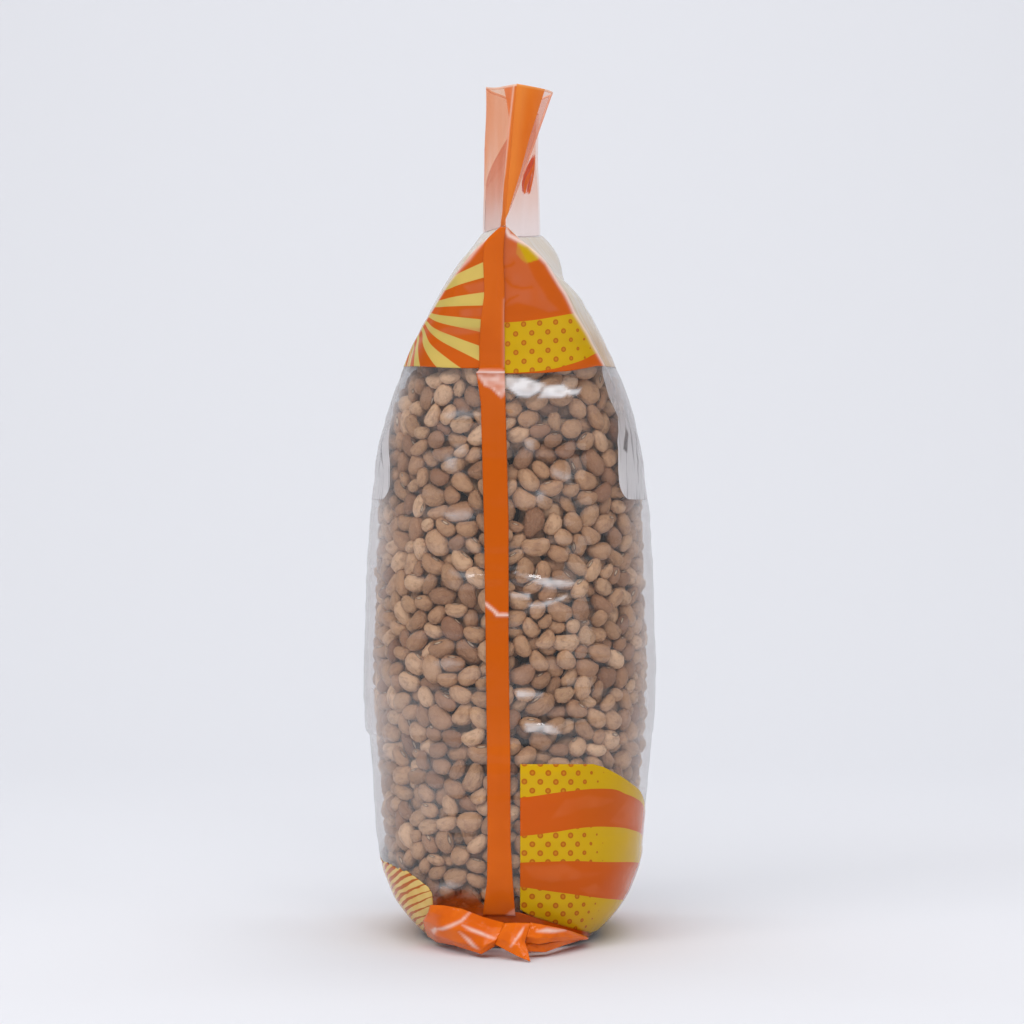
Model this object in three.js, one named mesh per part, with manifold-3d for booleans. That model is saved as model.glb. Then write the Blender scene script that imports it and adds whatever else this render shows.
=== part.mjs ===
// A pillow bag of dried beans in clear film, standing upright on its folded bottom end.
// Millimetres, +Z up. The origin is on the surface that the bag stands on, below its middle.
// The narrow side with the long fin seal looks towards -Y, and the bag's thickness lies along X.

import * as THREE from 'three';
import { ConvexGeometry } from 'three/addons/geometries/ConvexGeometry.js';
import { mergeVertices } from 'three/addons/utils/BufferGeometryUtils.js';
import Module from 'manifold-3d';

const wasm = await Module();
wasm.setup();

// Driving dimensions

// Heights are those of the bag's near side; the top seal climbs from there to the far side
const BAG_HEIGHT = 307.5;
const SEAL_BOTTOM = 258;          // where the two films meet in the crimped top seal
const SEAL_TOP = 271;
const TOP_CLIMB = 13;             // how much higher the seal and the tail are at the far side
const CLIMB_POWER = 1.5;          // above 1, so that they climb more and more with depth
const CLIMB_START = 195;          // height where the filled part begins to climb too
const SEAL_HALF_LENGTH = 88;      // half the seal's chord, along Y
const FILM_THICKNESS = 0.7;       // each film of the seal and of the loose tail
const SEAL_SWAY = 9.4;            // how far the seal line swings to either side, along X
const SWAY_LOSS = 0.15;           // share of that swing that is lost by the tail's top
const NECK_SHIFT = -1.6;          // X of the seal's near end
const FAR_SHIFT = 2.5;            // X of the seal's middle line at the far end
const SWAY_START = 233;           // height where the filled part begins to follow that line
const SHOULDER_SHIFT = -0.3;      // how far the shoulder's middle stands to +X
const SHOULDER_SPAN = [205, 235]; // heights over which that shift sets in
const WAIST = 0.5;                // how much flatter the top of the filled part is in mid depth
const WAIST_POWER = 4;            // above 2, so that the flatter stretch ends near the sides

const FIN_X = -4.6;               // middle of the fin seal on the near side
const FIN_WIDTH = 8.8;
const FIN_PROUD = 1.2;
const FIN_ROOT = 1.5;             // how far the fin's back is sunk in the bag
const FIN_BOTTOM = 14;
const FIN_TOP = 254;
const FIN_TAPER_START = 224;      // height where it begins to narrow
const FIN_TAPER = 0.75;           // share of its width that it has lost at its top

// The tail's mouth gapes, and all of this grows from nothing at the neck to the tail's top: reach
// along X, distance of the widest place from the near end, and distance at which it has closed
const GAPE_LEFT = { reach: 2.5, peak: 10, end: 70 };
const GAPE_RIGHT = { reach: 20.2, peak: 35, end: 165 };
const GAPE_START = 260;
const LEFT_CREST = { height: 4.6, rise: 65, fall: 90 }; // how much higher the left film's top is
const TAIL_LEAN = 4;              // how far the tail's near crease leans to +X at the top
const LEAN_LENGTH = 60;           // depth over which that lean fades
const MOUTH_FLOOR = 271;          // lowest point of the space between the tail's films
const MOUTH_WALL = 1.2;           // film left at the mouth's near crease
const MOUTH_LENGTH = 0.93;        // share of the right film's gape that this space runs along

const FRONT_SEGMENTS = 5;         // round a quarter of a level: near side, then broad side
const SIDE_SEGMENTS = 9;
const BODY_STEP = 9;              // height between levels of the filled part
const FOOT_TOP = 30;              // below it, and in the neck, levels are half as far apart
const NECK_STEP = 4.5;
const TAIL_STEP = 8;
const MOUTH_SEGMENTS = 20;
const MOUTH_BUNCHING = 2;         // above 1, so that the mouth's segments bunch at its crease
const ARC_SAMPLES = 200;          // straight steps that a level's arc length is taken from
const MERGE_DISTANCE = 1e-4;

// Filled part at a few heights: half thickness along X, half width along Y, and squareness,
// which is the exponent of the level's superellipse
const STATIONS = [
  { z: 0, thick: 34, wide: 49, square: 2.6 },
  { z: 6, thick: 39.5, wide: 54.5, square: 2.6 },
  { z: 15, thick: 44.5, wide: 59.5, square: 2.5 },
  { z: 30, thick: 49.5, wide: 64, square: 2.4 },
  { z: 60, thick: 52.5, wide: 66, square: 2.3 },
  { z: 95, thick: 54.8, wide: 66, square: 2.3 },
  { z: 135, thick: 53.8, wide: 65.5, square: 2.3 },
  { z: 175, thick: 50.5, wide: 65.5, square: 2.5 },
  { z: 198, thick: 44.8, wide: 67.5, square: 2.9 },
  { z: 213, thick: 38.2, wide: 71, square: 3.8 },
  { z: 231, thick: 28.2, wide: 77.5, square: 5.5 },
  { z: 246, thick: 18.6, wide: 83.5, square: 7 },
  { z: SEAL_BOTTOM, thick: FILM_THICKNESS, wide: SEAL_HALF_LENGTH, square: 8 },
];

// Corners of the crumpled film that is folded under the bag and lies at its foot
const NEAR_FOLDS = [
  [
    [-32, -12, 0.6], [-24, -44, 0.5], [-10, -68, 0.6], [-1, -67, 3.4], [-30, -52, 19],
    [-19, -61, 19.6], [-8, -67, 16], [-1, -70, 12.6], [-31, -40, 12],
  ],
  [
    [-5, -66, 5.4], [6.8, -81, 0.3], [5.6, -75, 6.5], [7, -71, 13.2], [-3, -69, 13],
    [0, -50, 4],
  ],
  [
    [30, -20, 0.6], [22, -38, 0.5], [13, -66, 0.8], [5, -66, 3], [27.6, -52, 9.4],
    [13, -66, 12], [6, -70, 13.2],
  ],
];
const FAR_FOLDS = [
  [
    [31, 16, 0.6], [24, 45, 0.5], [9, 70, 0.8], [0, 62, 4], [27, 53, 15], [14, 62, 17],
    [1, 66, 13],
  ],
  [
    [-31, 14, 0.6], [-22, 44, 0.5], [-8, 77, 0.6], [2, 64, 3], [-27, 54, 11],
    [-12, 66, 14], [3, 67, 12.6],
  ],
];

const FILM_COLOUR = 0xa98c76;     // tan beans seen through clear film
const FILM_ROUGHNESS = 0.25;

// Shape functions

function smooth(from, to, value) {
  return THREE.MathUtils.smoothstep(value, from, to);
}

// One measure of the filled part at height z, by monotone cubic steps between the stations
function measure(name, z) {
  const last = STATIONS.length - 1;
  const heights = STATIONS.map((station) => station.z);
  const values = STATIONS.map((station) => station[name]);
  if (z >= heights[last]) {
    return values[last];
  }
  const k = Math.max(0, heights.findLastIndex((height) => height <= z));
  const slope = (i) => (values[i + 1] - values[i]) / (heights[i + 1] - heights[i]);
  const tangent = (i) => {
    if (i === 0 || i === last) {
      return slope(Math.min(i, last - 1));
    }
    const before = slope(i - 1);
    const after = slope(i);
    return before * after <= 0 ? 0 : (2 * before * after) / (before + after);
  };
  const span = heights[k + 1] - heights[k];
  const t = (z - heights[k]) / span;
  const rise = t * t * (3 - 2 * t);
  const start = span * tangent(k) * t * (1 - t) * (1 - t);
  const end = span * tangent(k + 1) * t * t * (t - 1);
  return values[k] * (1 - rise) + values[k + 1] * rise + start + end;
}

// How far the tail has opened at height z: 0 at the neck and 1 at its top
function opening(z) {
  return Math.max(0, (z - GAPE_START) / (BAG_HEIGHT - GAPE_START));
}

// X of the seal line at depth y and height z: it swings left, then right to the far end
function sealLine(y, z) {
  const along = (y + SEAL_HALF_LENGTH) / (2 * SEAL_HALF_LENGTH);
  const drift = THREE.MathUtils.lerp(NECK_SHIFT, FAR_SHIFT, along);
  return drift - SEAL_SWAY * (1 - SWAY_LOSS * opening(z)) * Math.sin(1.5 * Math.PI * along);
}

// How much further the tail's film on one side stands out at depth y
function gape(y, z, { reach, peak, end }) {
  const open = opening(z);
  const distance = Math.max(0, y + SEAL_HALF_LENGTH);
  if (open === 0 || distance >= end * open) {
    return 0;
  }
  const rising = Math.sin((Math.min(distance / (peak * open), 1) * Math.PI) / 2);
  return reach * open * rising * (1 - smooth(peak * open, end * open, distance));
}

// X of the middle line that the bag's upper part and its tail follow at depth y
function middleLine(y, z) {
  const lean = TAIL_LEAN * opening(z) * (1 - smooth(0, LEAN_LENGTH, y + SEAL_HALF_LENGTH));
  const shoulder = SHOULDER_SHIFT * smooth(...SHOULDER_SPAN, z);
  const sway = smooth(SWAY_START, SEAL_BOTTOM, z);
  return THREE.MathUtils.lerp(shoulder, sealLine(y, z), sway) + lean;
}

// Height of a point at depth y, on the level that has height z at the near side
function climbed(y, z, side) {
  const distance = Math.max(0, y + SEAL_HALF_LENGTH);
  const length = 2 * SEAL_HALF_LENGTH;
  const climb = smooth(CLIMB_START, SEAL_BOTTOM, z) * TOP_CLIMB * (distance / length) ** CLIMB_POWER;
  const { height, rise, fall } = LEFT_CREST;
  const crest = height * smooth(0, rise, distance) * (1 - smooth(fall, length, distance));
  return z + climb + (side < 0 ? crest * opening(z) : 0);
}

// Points of a quarter superellipse from (0, wide) to (thick, 0), evenly spaced on each side
// of its corner, as [x, y]
function quarterLevel(thick, wide, square) {
  const at = (angle) => [
    thick * Math.sin(angle) ** (2 / square),
    wide * Math.cos(angle) ** (2 / square),
  ];
  const stretch = (from, to, count) => {
    const curve = new THREE.CurvePath();
    let before = at(from);
    for (let i = 1; i <= ARC_SAMPLES; i += 1) {
      const next = at(from + ((to - from) * i) / ARC_SAMPLES);
      curve.add(new THREE.LineCurve(new THREE.Vector2(...before), new THREE.Vector2(...next)));
      before = next;
    }
    return curve.getSpacedPoints(count).slice(0, count).map((point) => [point.x, point.y]);
  };
  const corner = Math.PI / 4;
  return [
    ...stretch(0, corner, FRONT_SEGMENTS),
    ...stretch(corner, Math.PI / 2, SIDE_SEGMENTS),
    [thick, 0],
  ];
}

// A whole level at height z, counter-clockwise seen from above, from the middle of the near side
function level(z) {
  const quarter = quarterLevel(measure('thick', z), measure('wide', z), measure('square', z));
  const nearRight = quarter.map(([x, y]) => [x, -y]);
  const farRight = quarter.slice(0, -1).reverse();
  const right = [...nearRight, ...farRight];
  const left = right.slice(1, -1).reverse().map(([x, y]) => [-x, y]);
  const waist = WAIST * smooth(SWAY_START, SEAL_BOTTOM, z);
  return [...right, ...left].map(([x, y]) => {
    const out = Math.sign(x) * gape(y, z, x < 0 ? GAPE_LEFT : GAPE_RIGHT);
    const middle = 1 - Math.abs(y / SEAL_HALF_LENGTH) ** WAIST_POWER;
    const half = z < SEAL_BOTTOM ? x * (1 - waist * middle) : x;
    return new THREE.Vector3(middleLine(y, z) + half + out, y, climbed(y, z, Math.sign(x)));
  });
}

// A closed body through levels of equal count; its ends are strips between mirrored points
function loft(levels) {
  const count = levels[0].length;
  const indices = [];
  const vertex = (row, i) => row * count + (i % count);
  for (let row = 0; row + 1 < levels.length; row += 1) {
    for (let i = 0; i < count; i += 1) {
      const [a, b] = [vertex(row, i), vertex(row, i + 1)];
      const [c, d] = [vertex(row + 1, i + 1), vertex(row + 1, i)];
      indices.push(a, b, c, a, c, d);
    }
  }
  const top = levels.length - 1;
  for (let i = 0; i < count / 2; i += 1) {
    const [right, nextRight] = [i, i + 1];
    const [left, nextLeft] = [count - i, count - i - 1];
    if (i > 0) {
      indices.push(vertex(0, right), vertex(0, left), vertex(0, nextRight));
      indices.push(vertex(top, right), vertex(top, nextRight), vertex(top, left));
    }
    if (i + 1 < count / 2) {
      indices.push(vertex(0, nextRight), vertex(0, left), vertex(0, nextLeft));
      indices.push(vertex(top, nextRight), vertex(top, nextLeft), vertex(top, left));
    }
  }
  const geometry = new THREE.BufferGeometry();
  geometry.setFromPoints(levels.flat());
  geometry.setIndex(indices);
  return geometry;
}

// Solids and geometries

function toSolid(geometry) {
  const bare = geometry.clone();
  bare.deleteAttribute('normal');
  bare.deleteAttribute('uv');
  const merged = mergeVertices(bare, MERGE_DISTANCE);
  return new wasm.Manifold(new wasm.Mesh({
    numProp: 3,
    vertProperties: new Float32Array(merged.attributes.position.array),
    triVerts: new Uint32Array(merged.index.array),
  }));
}

function toGeometry(solid) {
  const mesh = solid.getMesh();
  const geometry = new THREE.BufferGeometry();
  const places = new Float32Array(mesh.numVert * 3);
  for (let i = 0; i < mesh.numVert; i += 1) {
    for (let axis = 0; axis < 3; axis += 1) {
      places[i * 3 + axis] = mesh.vertProperties[i * mesh.numProp + axis];
    }
  }
  geometry.setAttribute('position', new THREE.BufferAttribute(places, 3));
  geometry.setIndex(new THREE.BufferAttribute(new Uint32Array(mesh.triVerts), 1));
  geometry.computeVertexNormals();
  return geometry;
}

// Sub-parts of the one solid

function filledBodyWithTail() {
  const heights = [0];
  const climb = (to, step) => {
    const from = heights.at(-1);
    const count = Math.max(1, Math.round((to - from) / step));
    for (let i = 1; i <= count; i += 1) {
      heights.push(from + ((to - from) * i) / count);
    }
  };
  climb(FOOT_TOP, NECK_STEP);
  climb(SWAY_START, BODY_STEP);
  climb(SEAL_BOTTOM, NECK_STEP);
  climb(SEAL_TOP, TAIL_STEP);
  climb(BAG_HEIGHT, TAIL_STEP);
  return loft(heights.map(level));
}

// The space between the tail's two films, which is open at the top
function mouth() {
  const point = (distance, z, side) => {
    const y = distance - SEAL_HALF_LENGTH;
    const out = side * gape(y, z, side < 0 ? GAPE_LEFT : GAPE_RIGHT);
    return new THREE.Vector3(middleLine(y, z) + out, y, climbed(y, z, side));
  };
  const ring = (z) => {
    const far = MOUTH_LENGTH * GAPE_RIGHT.end * opening(z);
    const steps = Array.from({ length: MOUTH_SEGMENTS + 1 }, (_, i) => i / MOUTH_SEGMENTS);
    const bunched = steps.map((step) => step ** MOUTH_BUNCHING);
    const distances = bunched.map((step) => MOUTH_WALL + (far - MOUTH_WALL) * step);
    return [
      point(MOUTH_WALL, z, 0),
      ...distances.map((distance) => point(distance, z, 1)),
      point(far, z, 0),
      ...distances.toReversed().map((distance) => point(distance, z, -1)),
    ];
  };
  const heights = [MOUTH_FLOOR];
  while (heights.at(-1) < BAG_HEIGHT) {
    heights.push(heights.at(-1) + TAIL_STEP);
  }
  return loft(heights.map(ring));
}

// The long seal is a flat strip that follows the near side from its foot to the neck
function finSeal() {
  const heights = [];
  for (let z = FIN_BOTTOM; z < FIN_TOP; z += BODY_STEP) {
    heights.push(z);
  }
  heights.push(FIN_TOP);
  return loft(heights.map((z) => {
    const narrowing = 1 - FIN_TAPER * smooth(FIN_TAPER_START, FIN_TOP, z);
    const middle = THREE.MathUtils.lerp(FIN_X, NECK_SHIFT, smooth(SWAY_START, FIN_TOP, z));
    const half = (FIN_WIDTH / 2) * narrowing;
    const face = -measure('wide', z);
    return [
      new THREE.Vector3(middle, face - FIN_PROUD, z),
      new THREE.Vector3(middle + half, face - FIN_PROUD, z),
      new THREE.Vector3(middle + half, face + FIN_ROOT, z),
      new THREE.Vector3(middle, face + FIN_ROOT, z),
      new THREE.Vector3(middle - half, face + FIN_ROOT, z),
      new THREE.Vector3(middle - half, face - FIN_PROUD, z),
    ];
  }));
}

function crumpledFold(corners) {
  return new ConvexGeometry(corners.map((corner) => new THREE.Vector3(...corner)));
}

function beanBag() {
  const pieces = [
    filledBodyWithTail(),
    finSeal(),
    ...[...NEAR_FOLDS, ...FAR_FOLDS].map(crumpledFold),
  ];
  const whole = pieces.map(toSolid).reduce((joined, piece) => joined.add(piece));
  const solid = whole.subtract(toSolid(mouth()));
  const material = new THREE.MeshStandardMaterial({
    color: FILM_COLOUR,
    roughness: FILM_ROUGHNESS,
    metalness: 0,
  });
  const mesh = new THREE.Mesh(toGeometry(solid), material);
  mesh.name = 'bean_bag';
  return mesh;
}

const group = new THREE.Group();
group.add(beanBag());

export default group;
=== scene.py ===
"""A clear film bag of dried beans, standing on its folded bottom end.

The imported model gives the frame: metres, +Z up, the origin below the bag's middle on the surface
that it stands on, -Y towards the narrow side with the long fin seal, and the thickness along X.
Film, print, seals and beans are surfaces worked out from the bag's own form and replace its solid.
"""

import logging
import math
from dataclasses import dataclass
from enum import Enum

import bpy
import numpy as np
from bpy.types import Material, Node, NodeSocket, NodeTree, Object
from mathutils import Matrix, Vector


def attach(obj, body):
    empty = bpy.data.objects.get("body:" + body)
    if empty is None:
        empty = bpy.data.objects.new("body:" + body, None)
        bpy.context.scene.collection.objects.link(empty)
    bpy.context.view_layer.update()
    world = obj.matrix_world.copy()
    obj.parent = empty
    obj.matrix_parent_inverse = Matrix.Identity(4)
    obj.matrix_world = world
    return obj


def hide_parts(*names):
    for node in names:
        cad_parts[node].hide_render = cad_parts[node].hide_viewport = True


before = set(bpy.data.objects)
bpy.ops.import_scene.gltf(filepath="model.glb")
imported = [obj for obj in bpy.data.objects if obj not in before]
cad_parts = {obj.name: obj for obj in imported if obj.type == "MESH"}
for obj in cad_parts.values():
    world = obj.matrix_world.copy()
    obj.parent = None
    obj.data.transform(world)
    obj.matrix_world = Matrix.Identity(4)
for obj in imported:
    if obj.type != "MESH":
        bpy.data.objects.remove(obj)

Array = np.ndarray
LOG = logging.getLogger("bean_bag")
MM = 0.001
NODE = "bean_bag"
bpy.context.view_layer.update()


class Slot(Enum):
    """Material slots that each piece is logged with."""

    CLEAR_FILM = "clear_film"
    PRINTED_FILM = "printed_film"
    BEANS = "beans"


def smooth(start: float, end: float, value: Array) -> Array:
    """Smooth step from 0 at start to 1 at end.

    Args:
        start: where the step begins.
        end: where it ends.
        value: places to work it out at.

    Returns:
        t * t * (3 - 2 t), with t the clipped share of the way.
    """
    t = np.clip((np.asarray(value, float) - start) / (end - start), 0.0, 1.0)
    return t * t * (3.0 - 2.0 * t)


def srgb(red: float, green: float, blue: float) -> tuple[float, float, float, float]:
    """Linear colour, with alpha 1, of an sRGB colour given from 0 to 255."""
    def linear(part: float) -> float:
        part = part / 255.0
        return part / 12.92 if part <= 0.04045 else ((part + 0.055) / 1.055) ** 2.4
    return (linear(red), linear(green), linear(blue), 1.0)


def crowded(even: Array, amount: float) -> Array:
    """Even shares from -1 to 1, drawn together near 0."""
    return even - amount * np.sin(np.pi * even) / np.pi


class Noise:
    """Smooth random relief on a plane: random values on a lattice, blended between its points."""

    def __init__(self, seed: int, cells: int = 64) -> None:
        """Draw the lattice.

        Args:
            seed: seed of the draw.
            cells: points of the lattice each way; it repeats after them.
        """
        self.cells = cells
        self.lattice = np.random.default_rng(seed).uniform(-1.0, 1.0, (cells, cells))

    def at(self, u: Array, v: Array) -> Array:
        """Value at (u, v), both in cells.

        Args:
            u: first coordinate.
            v: second coordinate.

        Returns:
            The four lattice values round each point, blended by smooth steps.
        """
        row, column = np.floor(u).astype(int), np.floor(v).astype(int)
        a, b = smooth(0, 1, u - row), smooth(0, 1, v - column)
        r0, r1 = row % self.cells, (row + 1) % self.cells
        c0, c1 = column % self.cells, (column + 1) % self.cells
        low = self.lattice[r0, c0] * (1 - a) + self.lattice[r1, c0] * a
        high = self.lattice[r0, c1] * (1 - a) + self.lattice[r1, c1] * a
        return low * (1 - b) + high * b

    def over(self, u: Array, v: Array, size: tuple, shift: float = 40) -> Array:
        """Value at (u, v) in millimetres, for cells of a given size, from a shifted start."""
        return self.at(u / size[0] + shift, v / size[1] + shift)


@dataclass(frozen=True)
class Stations:
    """The filled part at a few heights, in millimetres, as in the solid."""

    z: tuple = (0, 6, 15, 30, 60, 95, 135, 175, 198, 213, 231, 246, 258)
    thick: tuple = (34, 39.5, 44.5, 49.5, 52.5, 54.8, 53.8, 50.5, 44.8, 38.2, 28.2, 18.6, 0.7)
    wide: tuple = (49, 54.5, 59.5, 64, 66, 66, 65.5, 65.5, 67.5, 71, 77.5, 83.5, 88)
    square: tuple = (2.6, 2.6, 2.5, 2.4, 2.3, 2.3, 2.3, 2.5, 2.9, 3.8, 5.5, 7, 8)


@dataclass(frozen=True)
class Gape:
    """One film of the tail's open mouth: reach along X, widest place and end, in millimetres."""

    reach: float
    peak: float
    end: float


@dataclass
class BagForm:
    """The bag's outer form in millimetres: levels of a pillow bag below a swaying top seal."""

    stations: Stations = Stations()
    height: float = 307.5
    seal_bottom: float = 258.0
    half_length: float = 88.0
    film: float = 0.7
    climb: float = 13.0
    climb_power: float = 1.5
    climb_start: float = 195.0
    sway: float = 9.4
    sway_loss: float = 0.15
    neck_shift: float = -1.6
    far_shift: float = 2.5
    sway_start: float = 233.0
    shoulder_shift: float = -0.3
    shoulder_span: tuple = (205.0, 235.0)
    waist: float = 0.5
    gape_left: Gape = Gape(2.5, 10.0, 70.0)
    gape_right: Gape = Gape(20.2, 35.0, 165.0)
    gape_start: float = 260.0
    crest: float = 4.6
    crest_rise: float = 65.0
    crest_fall: float = 90.0
    tail_lean: float = 4.0
    lean_length: float = 60.0
    rows: int = 345
    columns: int = 601

    def __post_init__(self) -> None:
        """Work out the table of points that the other pieces are read from."""
        self.levels = np.linspace(0.0, self.seal_bottom, self.rows)
        self.shares = np.linspace(-1.0, 1.0, self.columns)
        self.points, self.girth = self._table()
        self.normals = self._normals(self.points)

    def measure(self, name: str, z: Array) -> Array:
        """One measure of the filled part by monotone cubic steps between the stations.

        Args:
            name: thick, wide or square.
            z: heights.

        Returns:
            Hermite blend of the two stations round each height, with harmonic mean slopes.
        """
        heights = np.array(self.stations.z, float)
        values = np.array(getattr(self.stations, name), float)
        slopes = np.diff(values) / np.diff(heights)
        tangents = np.concatenate([slopes[:1], np.zeros(len(slopes) - 1), slopes[-1:]])
        before, after = slopes[:-1], slopes[1:]
        same = before * after > 0
        total = np.where(same, before + after, 1.0)
        tangents[1:-1] = np.where(same, 2 * before * after / total, 0.0)
        z = np.clip(np.asarray(z, float), heights[0], heights[-1])
        k = np.clip(np.searchsorted(heights, z, side="right") - 1, 0, len(slopes) - 1)
        span = heights[k + 1] - heights[k]
        t = (z - heights[k]) / span
        rise = t * t * (3 - 2 * t)
        start = span * tangents[k] * t * (1 - t) ** 2
        end = span * tangents[k + 1] * t * t * (t - 1)
        return values[k] * (1 - rise) + values[k + 1] * rise + start + end

    def seal_line(self, y: Array, z: Array) -> Array:
        """X of the seal.

        Args:
            y: depths.
            z: heights.

        Returns:
            Three quarters of a sine about a slowly drifting middle, a little less with height.
        """
        along = (y + self.half_length) / (2 * self.half_length)
        drift = self.neck_shift + (self.far_shift - self.neck_shift) * along
        swing = self.sway * (1 - self.sway_loss * self.opening(z))
        return drift - swing * np.sin(1.5 * np.pi * along)

    def opening(self, z: Array) -> Array:
        """How far the tail has opened at height z: 0 at the neck and 1 at its top."""
        return np.maximum(0.0, (z - self.gape_start) / (self.height - self.gape_start))

    def gape(self, distance: Array, z: Array, side: int) -> Array:
        """How far one film of the tail stands off the seal line.

        Args:
            distance: distance in depth from the near end.
            z: heights.
            side: -1 for the left film and 1 for the right film.

        Returns:
            A quarter sine up to the widest place and a smooth step down, both growing with height.
        """
        shape = self.gape_left if side < 0 else self.gape_right
        opened = np.maximum(self.opening(z), 1e-6)
        rising = np.sin(np.clip(distance / (shape.peak * opened), 0, 1) * np.pi / 2)
        share = np.clip((distance / opened - shape.peak) / (shape.end - shape.peak), 0, 1)
        return shape.reach * self.opening(z) * rising * (1 - smooth(0, 1, share))

    def middle_line(self, y: Array, z: Array) -> Array:
        """X of the middle that the upper part and the tail follow.

        Args:
            y: depths.
            z: heights.

        Returns:
            The seal line above, a straight middle below, and the tail's lean at the near end.
        """
        distance = y + self.half_length
        lean = self.tail_lean * self.opening(z) * (1 - smooth(0, self.lean_length, distance))
        shoulder = self.shoulder_shift * smooth(*self.shoulder_span, z)
        swayed = smooth(self.sway_start, self.seal_bottom, z)
        return shoulder * (1 - swayed) + self.seal_line(y, z) * swayed + lean

    def climbed(self, y: Array, z: Array, side: int = 1) -> Array:
        """Height at depth y of the level that has height z at the near side.

        Args:
            y: depths.
            z: heights at the near side.
            side: -1 for the tail's left film, whose top stands higher, else 1.

        Returns:
            The height, lifted by a power of the depth and by the left film's crest.
        """
        distance, length = np.maximum(0.0, y + self.half_length), 2 * self.half_length
        lift = self.climb * (distance / length) ** self.climb_power
        lifted = z + smooth(self.climb_start, self.seal_bottom, z) * lift
        crest = smooth(0, self.crest_rise, distance)
        crest = crest * (1 - smooth(self.crest_fall, length, distance))
        return lifted + self.crest * crest * self.opening(z) * (side < 0)

    def _table(self) -> tuple[Array, Array]:
        """Points of every level at even shares of its half girth, and those half girths.

        Returns:
            Points as rows x columns x 3, from far middle round -X, the near middle and +X back to
            the far middle, and the half girth of each row.
        """
        angle = np.linspace(-np.pi, np.pi, 4001)
        table = np.empty((self.rows, self.columns, 3))
        girth = np.empty(self.rows)
        for row, z in enumerate(self.levels):
            thick, wide = self.measure("thick", z), self.measure("wide", z)
            power = 2.0 / self.measure("square", z)
            x = thick * np.sign(np.sin(angle)) * np.abs(np.sin(angle)) ** power
            y = -wide * np.sign(np.cos(angle)) * np.abs(np.cos(angle)) ** power
            length = np.concatenate([[0.0], np.cumsum(np.hypot(np.diff(x), np.diff(y)))])
            girth[row] = length[-1] / 2
            place = (self.shares + 1) * girth[row]
            x, y = np.interp(place, length, x), np.interp(place, length, y)
            waist = self.waist * smooth(self.sway_start, self.seal_bottom, z)
            x = x * (1 - waist * (1 - (y / self.half_length) ** 4))
            table[row] = np.stack([x + self.middle_line(y, z), y, self.climbed(y, z)], axis=1)
        return table, girth

    @staticmethod
    def _normals(points: Array) -> Array:
        """Outward unit normals of a table of points, from its differences both ways."""
        across = np.empty_like(points)
        across[:, 1:-1] = points[:, 2:] - points[:, :-2]
        across[:, 0] = across[:, -1] = points[:, 1] - points[:, -2]
        normal = np.cross(across, np.gradient(points, axis=0))
        return normal / np.maximum(np.linalg.norm(normal, axis=2, keepdims=True), 1e-12)

    def half_girth(self, z: Array) -> Array:
        """Half the girth of the level at height z."""
        return np.interp(z, self.levels, self.girth)

    def wrap(self, u: Array, z: Array, out: Array | float = 0.0) -> Array:
        """Points on the bag at an arc length from the near middle and a height.

        Args:
            u: arc length round the level, positive towards +X.
            z: height of the level.
            out: distance outwards along the normal.

        Returns:
            Points from the table, blended between its four neighbours, moved out by the normal.
        """
        u, z = np.broadcast_arrays(np.asarray(u, float), np.asarray(z, float))
        share = u / self.half_girth(z)
        share = (share + 1) % 2 - 1
        column = (share + 1) / 2 * (self.columns - 1)
        row = np.clip(z / self.seal_bottom, 0, 1) * (self.rows - 1)
        i = np.clip(np.floor(row).astype(int), 0, self.rows - 2)
        j = np.clip(np.floor(column).astype(int), 0, self.columns - 2)
        a, b = (row - i)[..., None], (column - j)[..., None]

        def blend(table: Array) -> Array:
            """Blend a table between the four neighbours of each place."""
            near = table[i, j] * (1 - b) + table[i, j + 1] * b
            high = table[i + 1, j] * (1 - b) + table[i + 1, j + 1] * b
            return near * (1 - a) + high * a

        normal = blend(self.normals)
        normal /= np.maximum(np.linalg.norm(normal, axis=-1, keepdims=True), 1e-9)
        return blend(self.points) + normal * np.asarray(out, float)[..., None]


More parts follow.
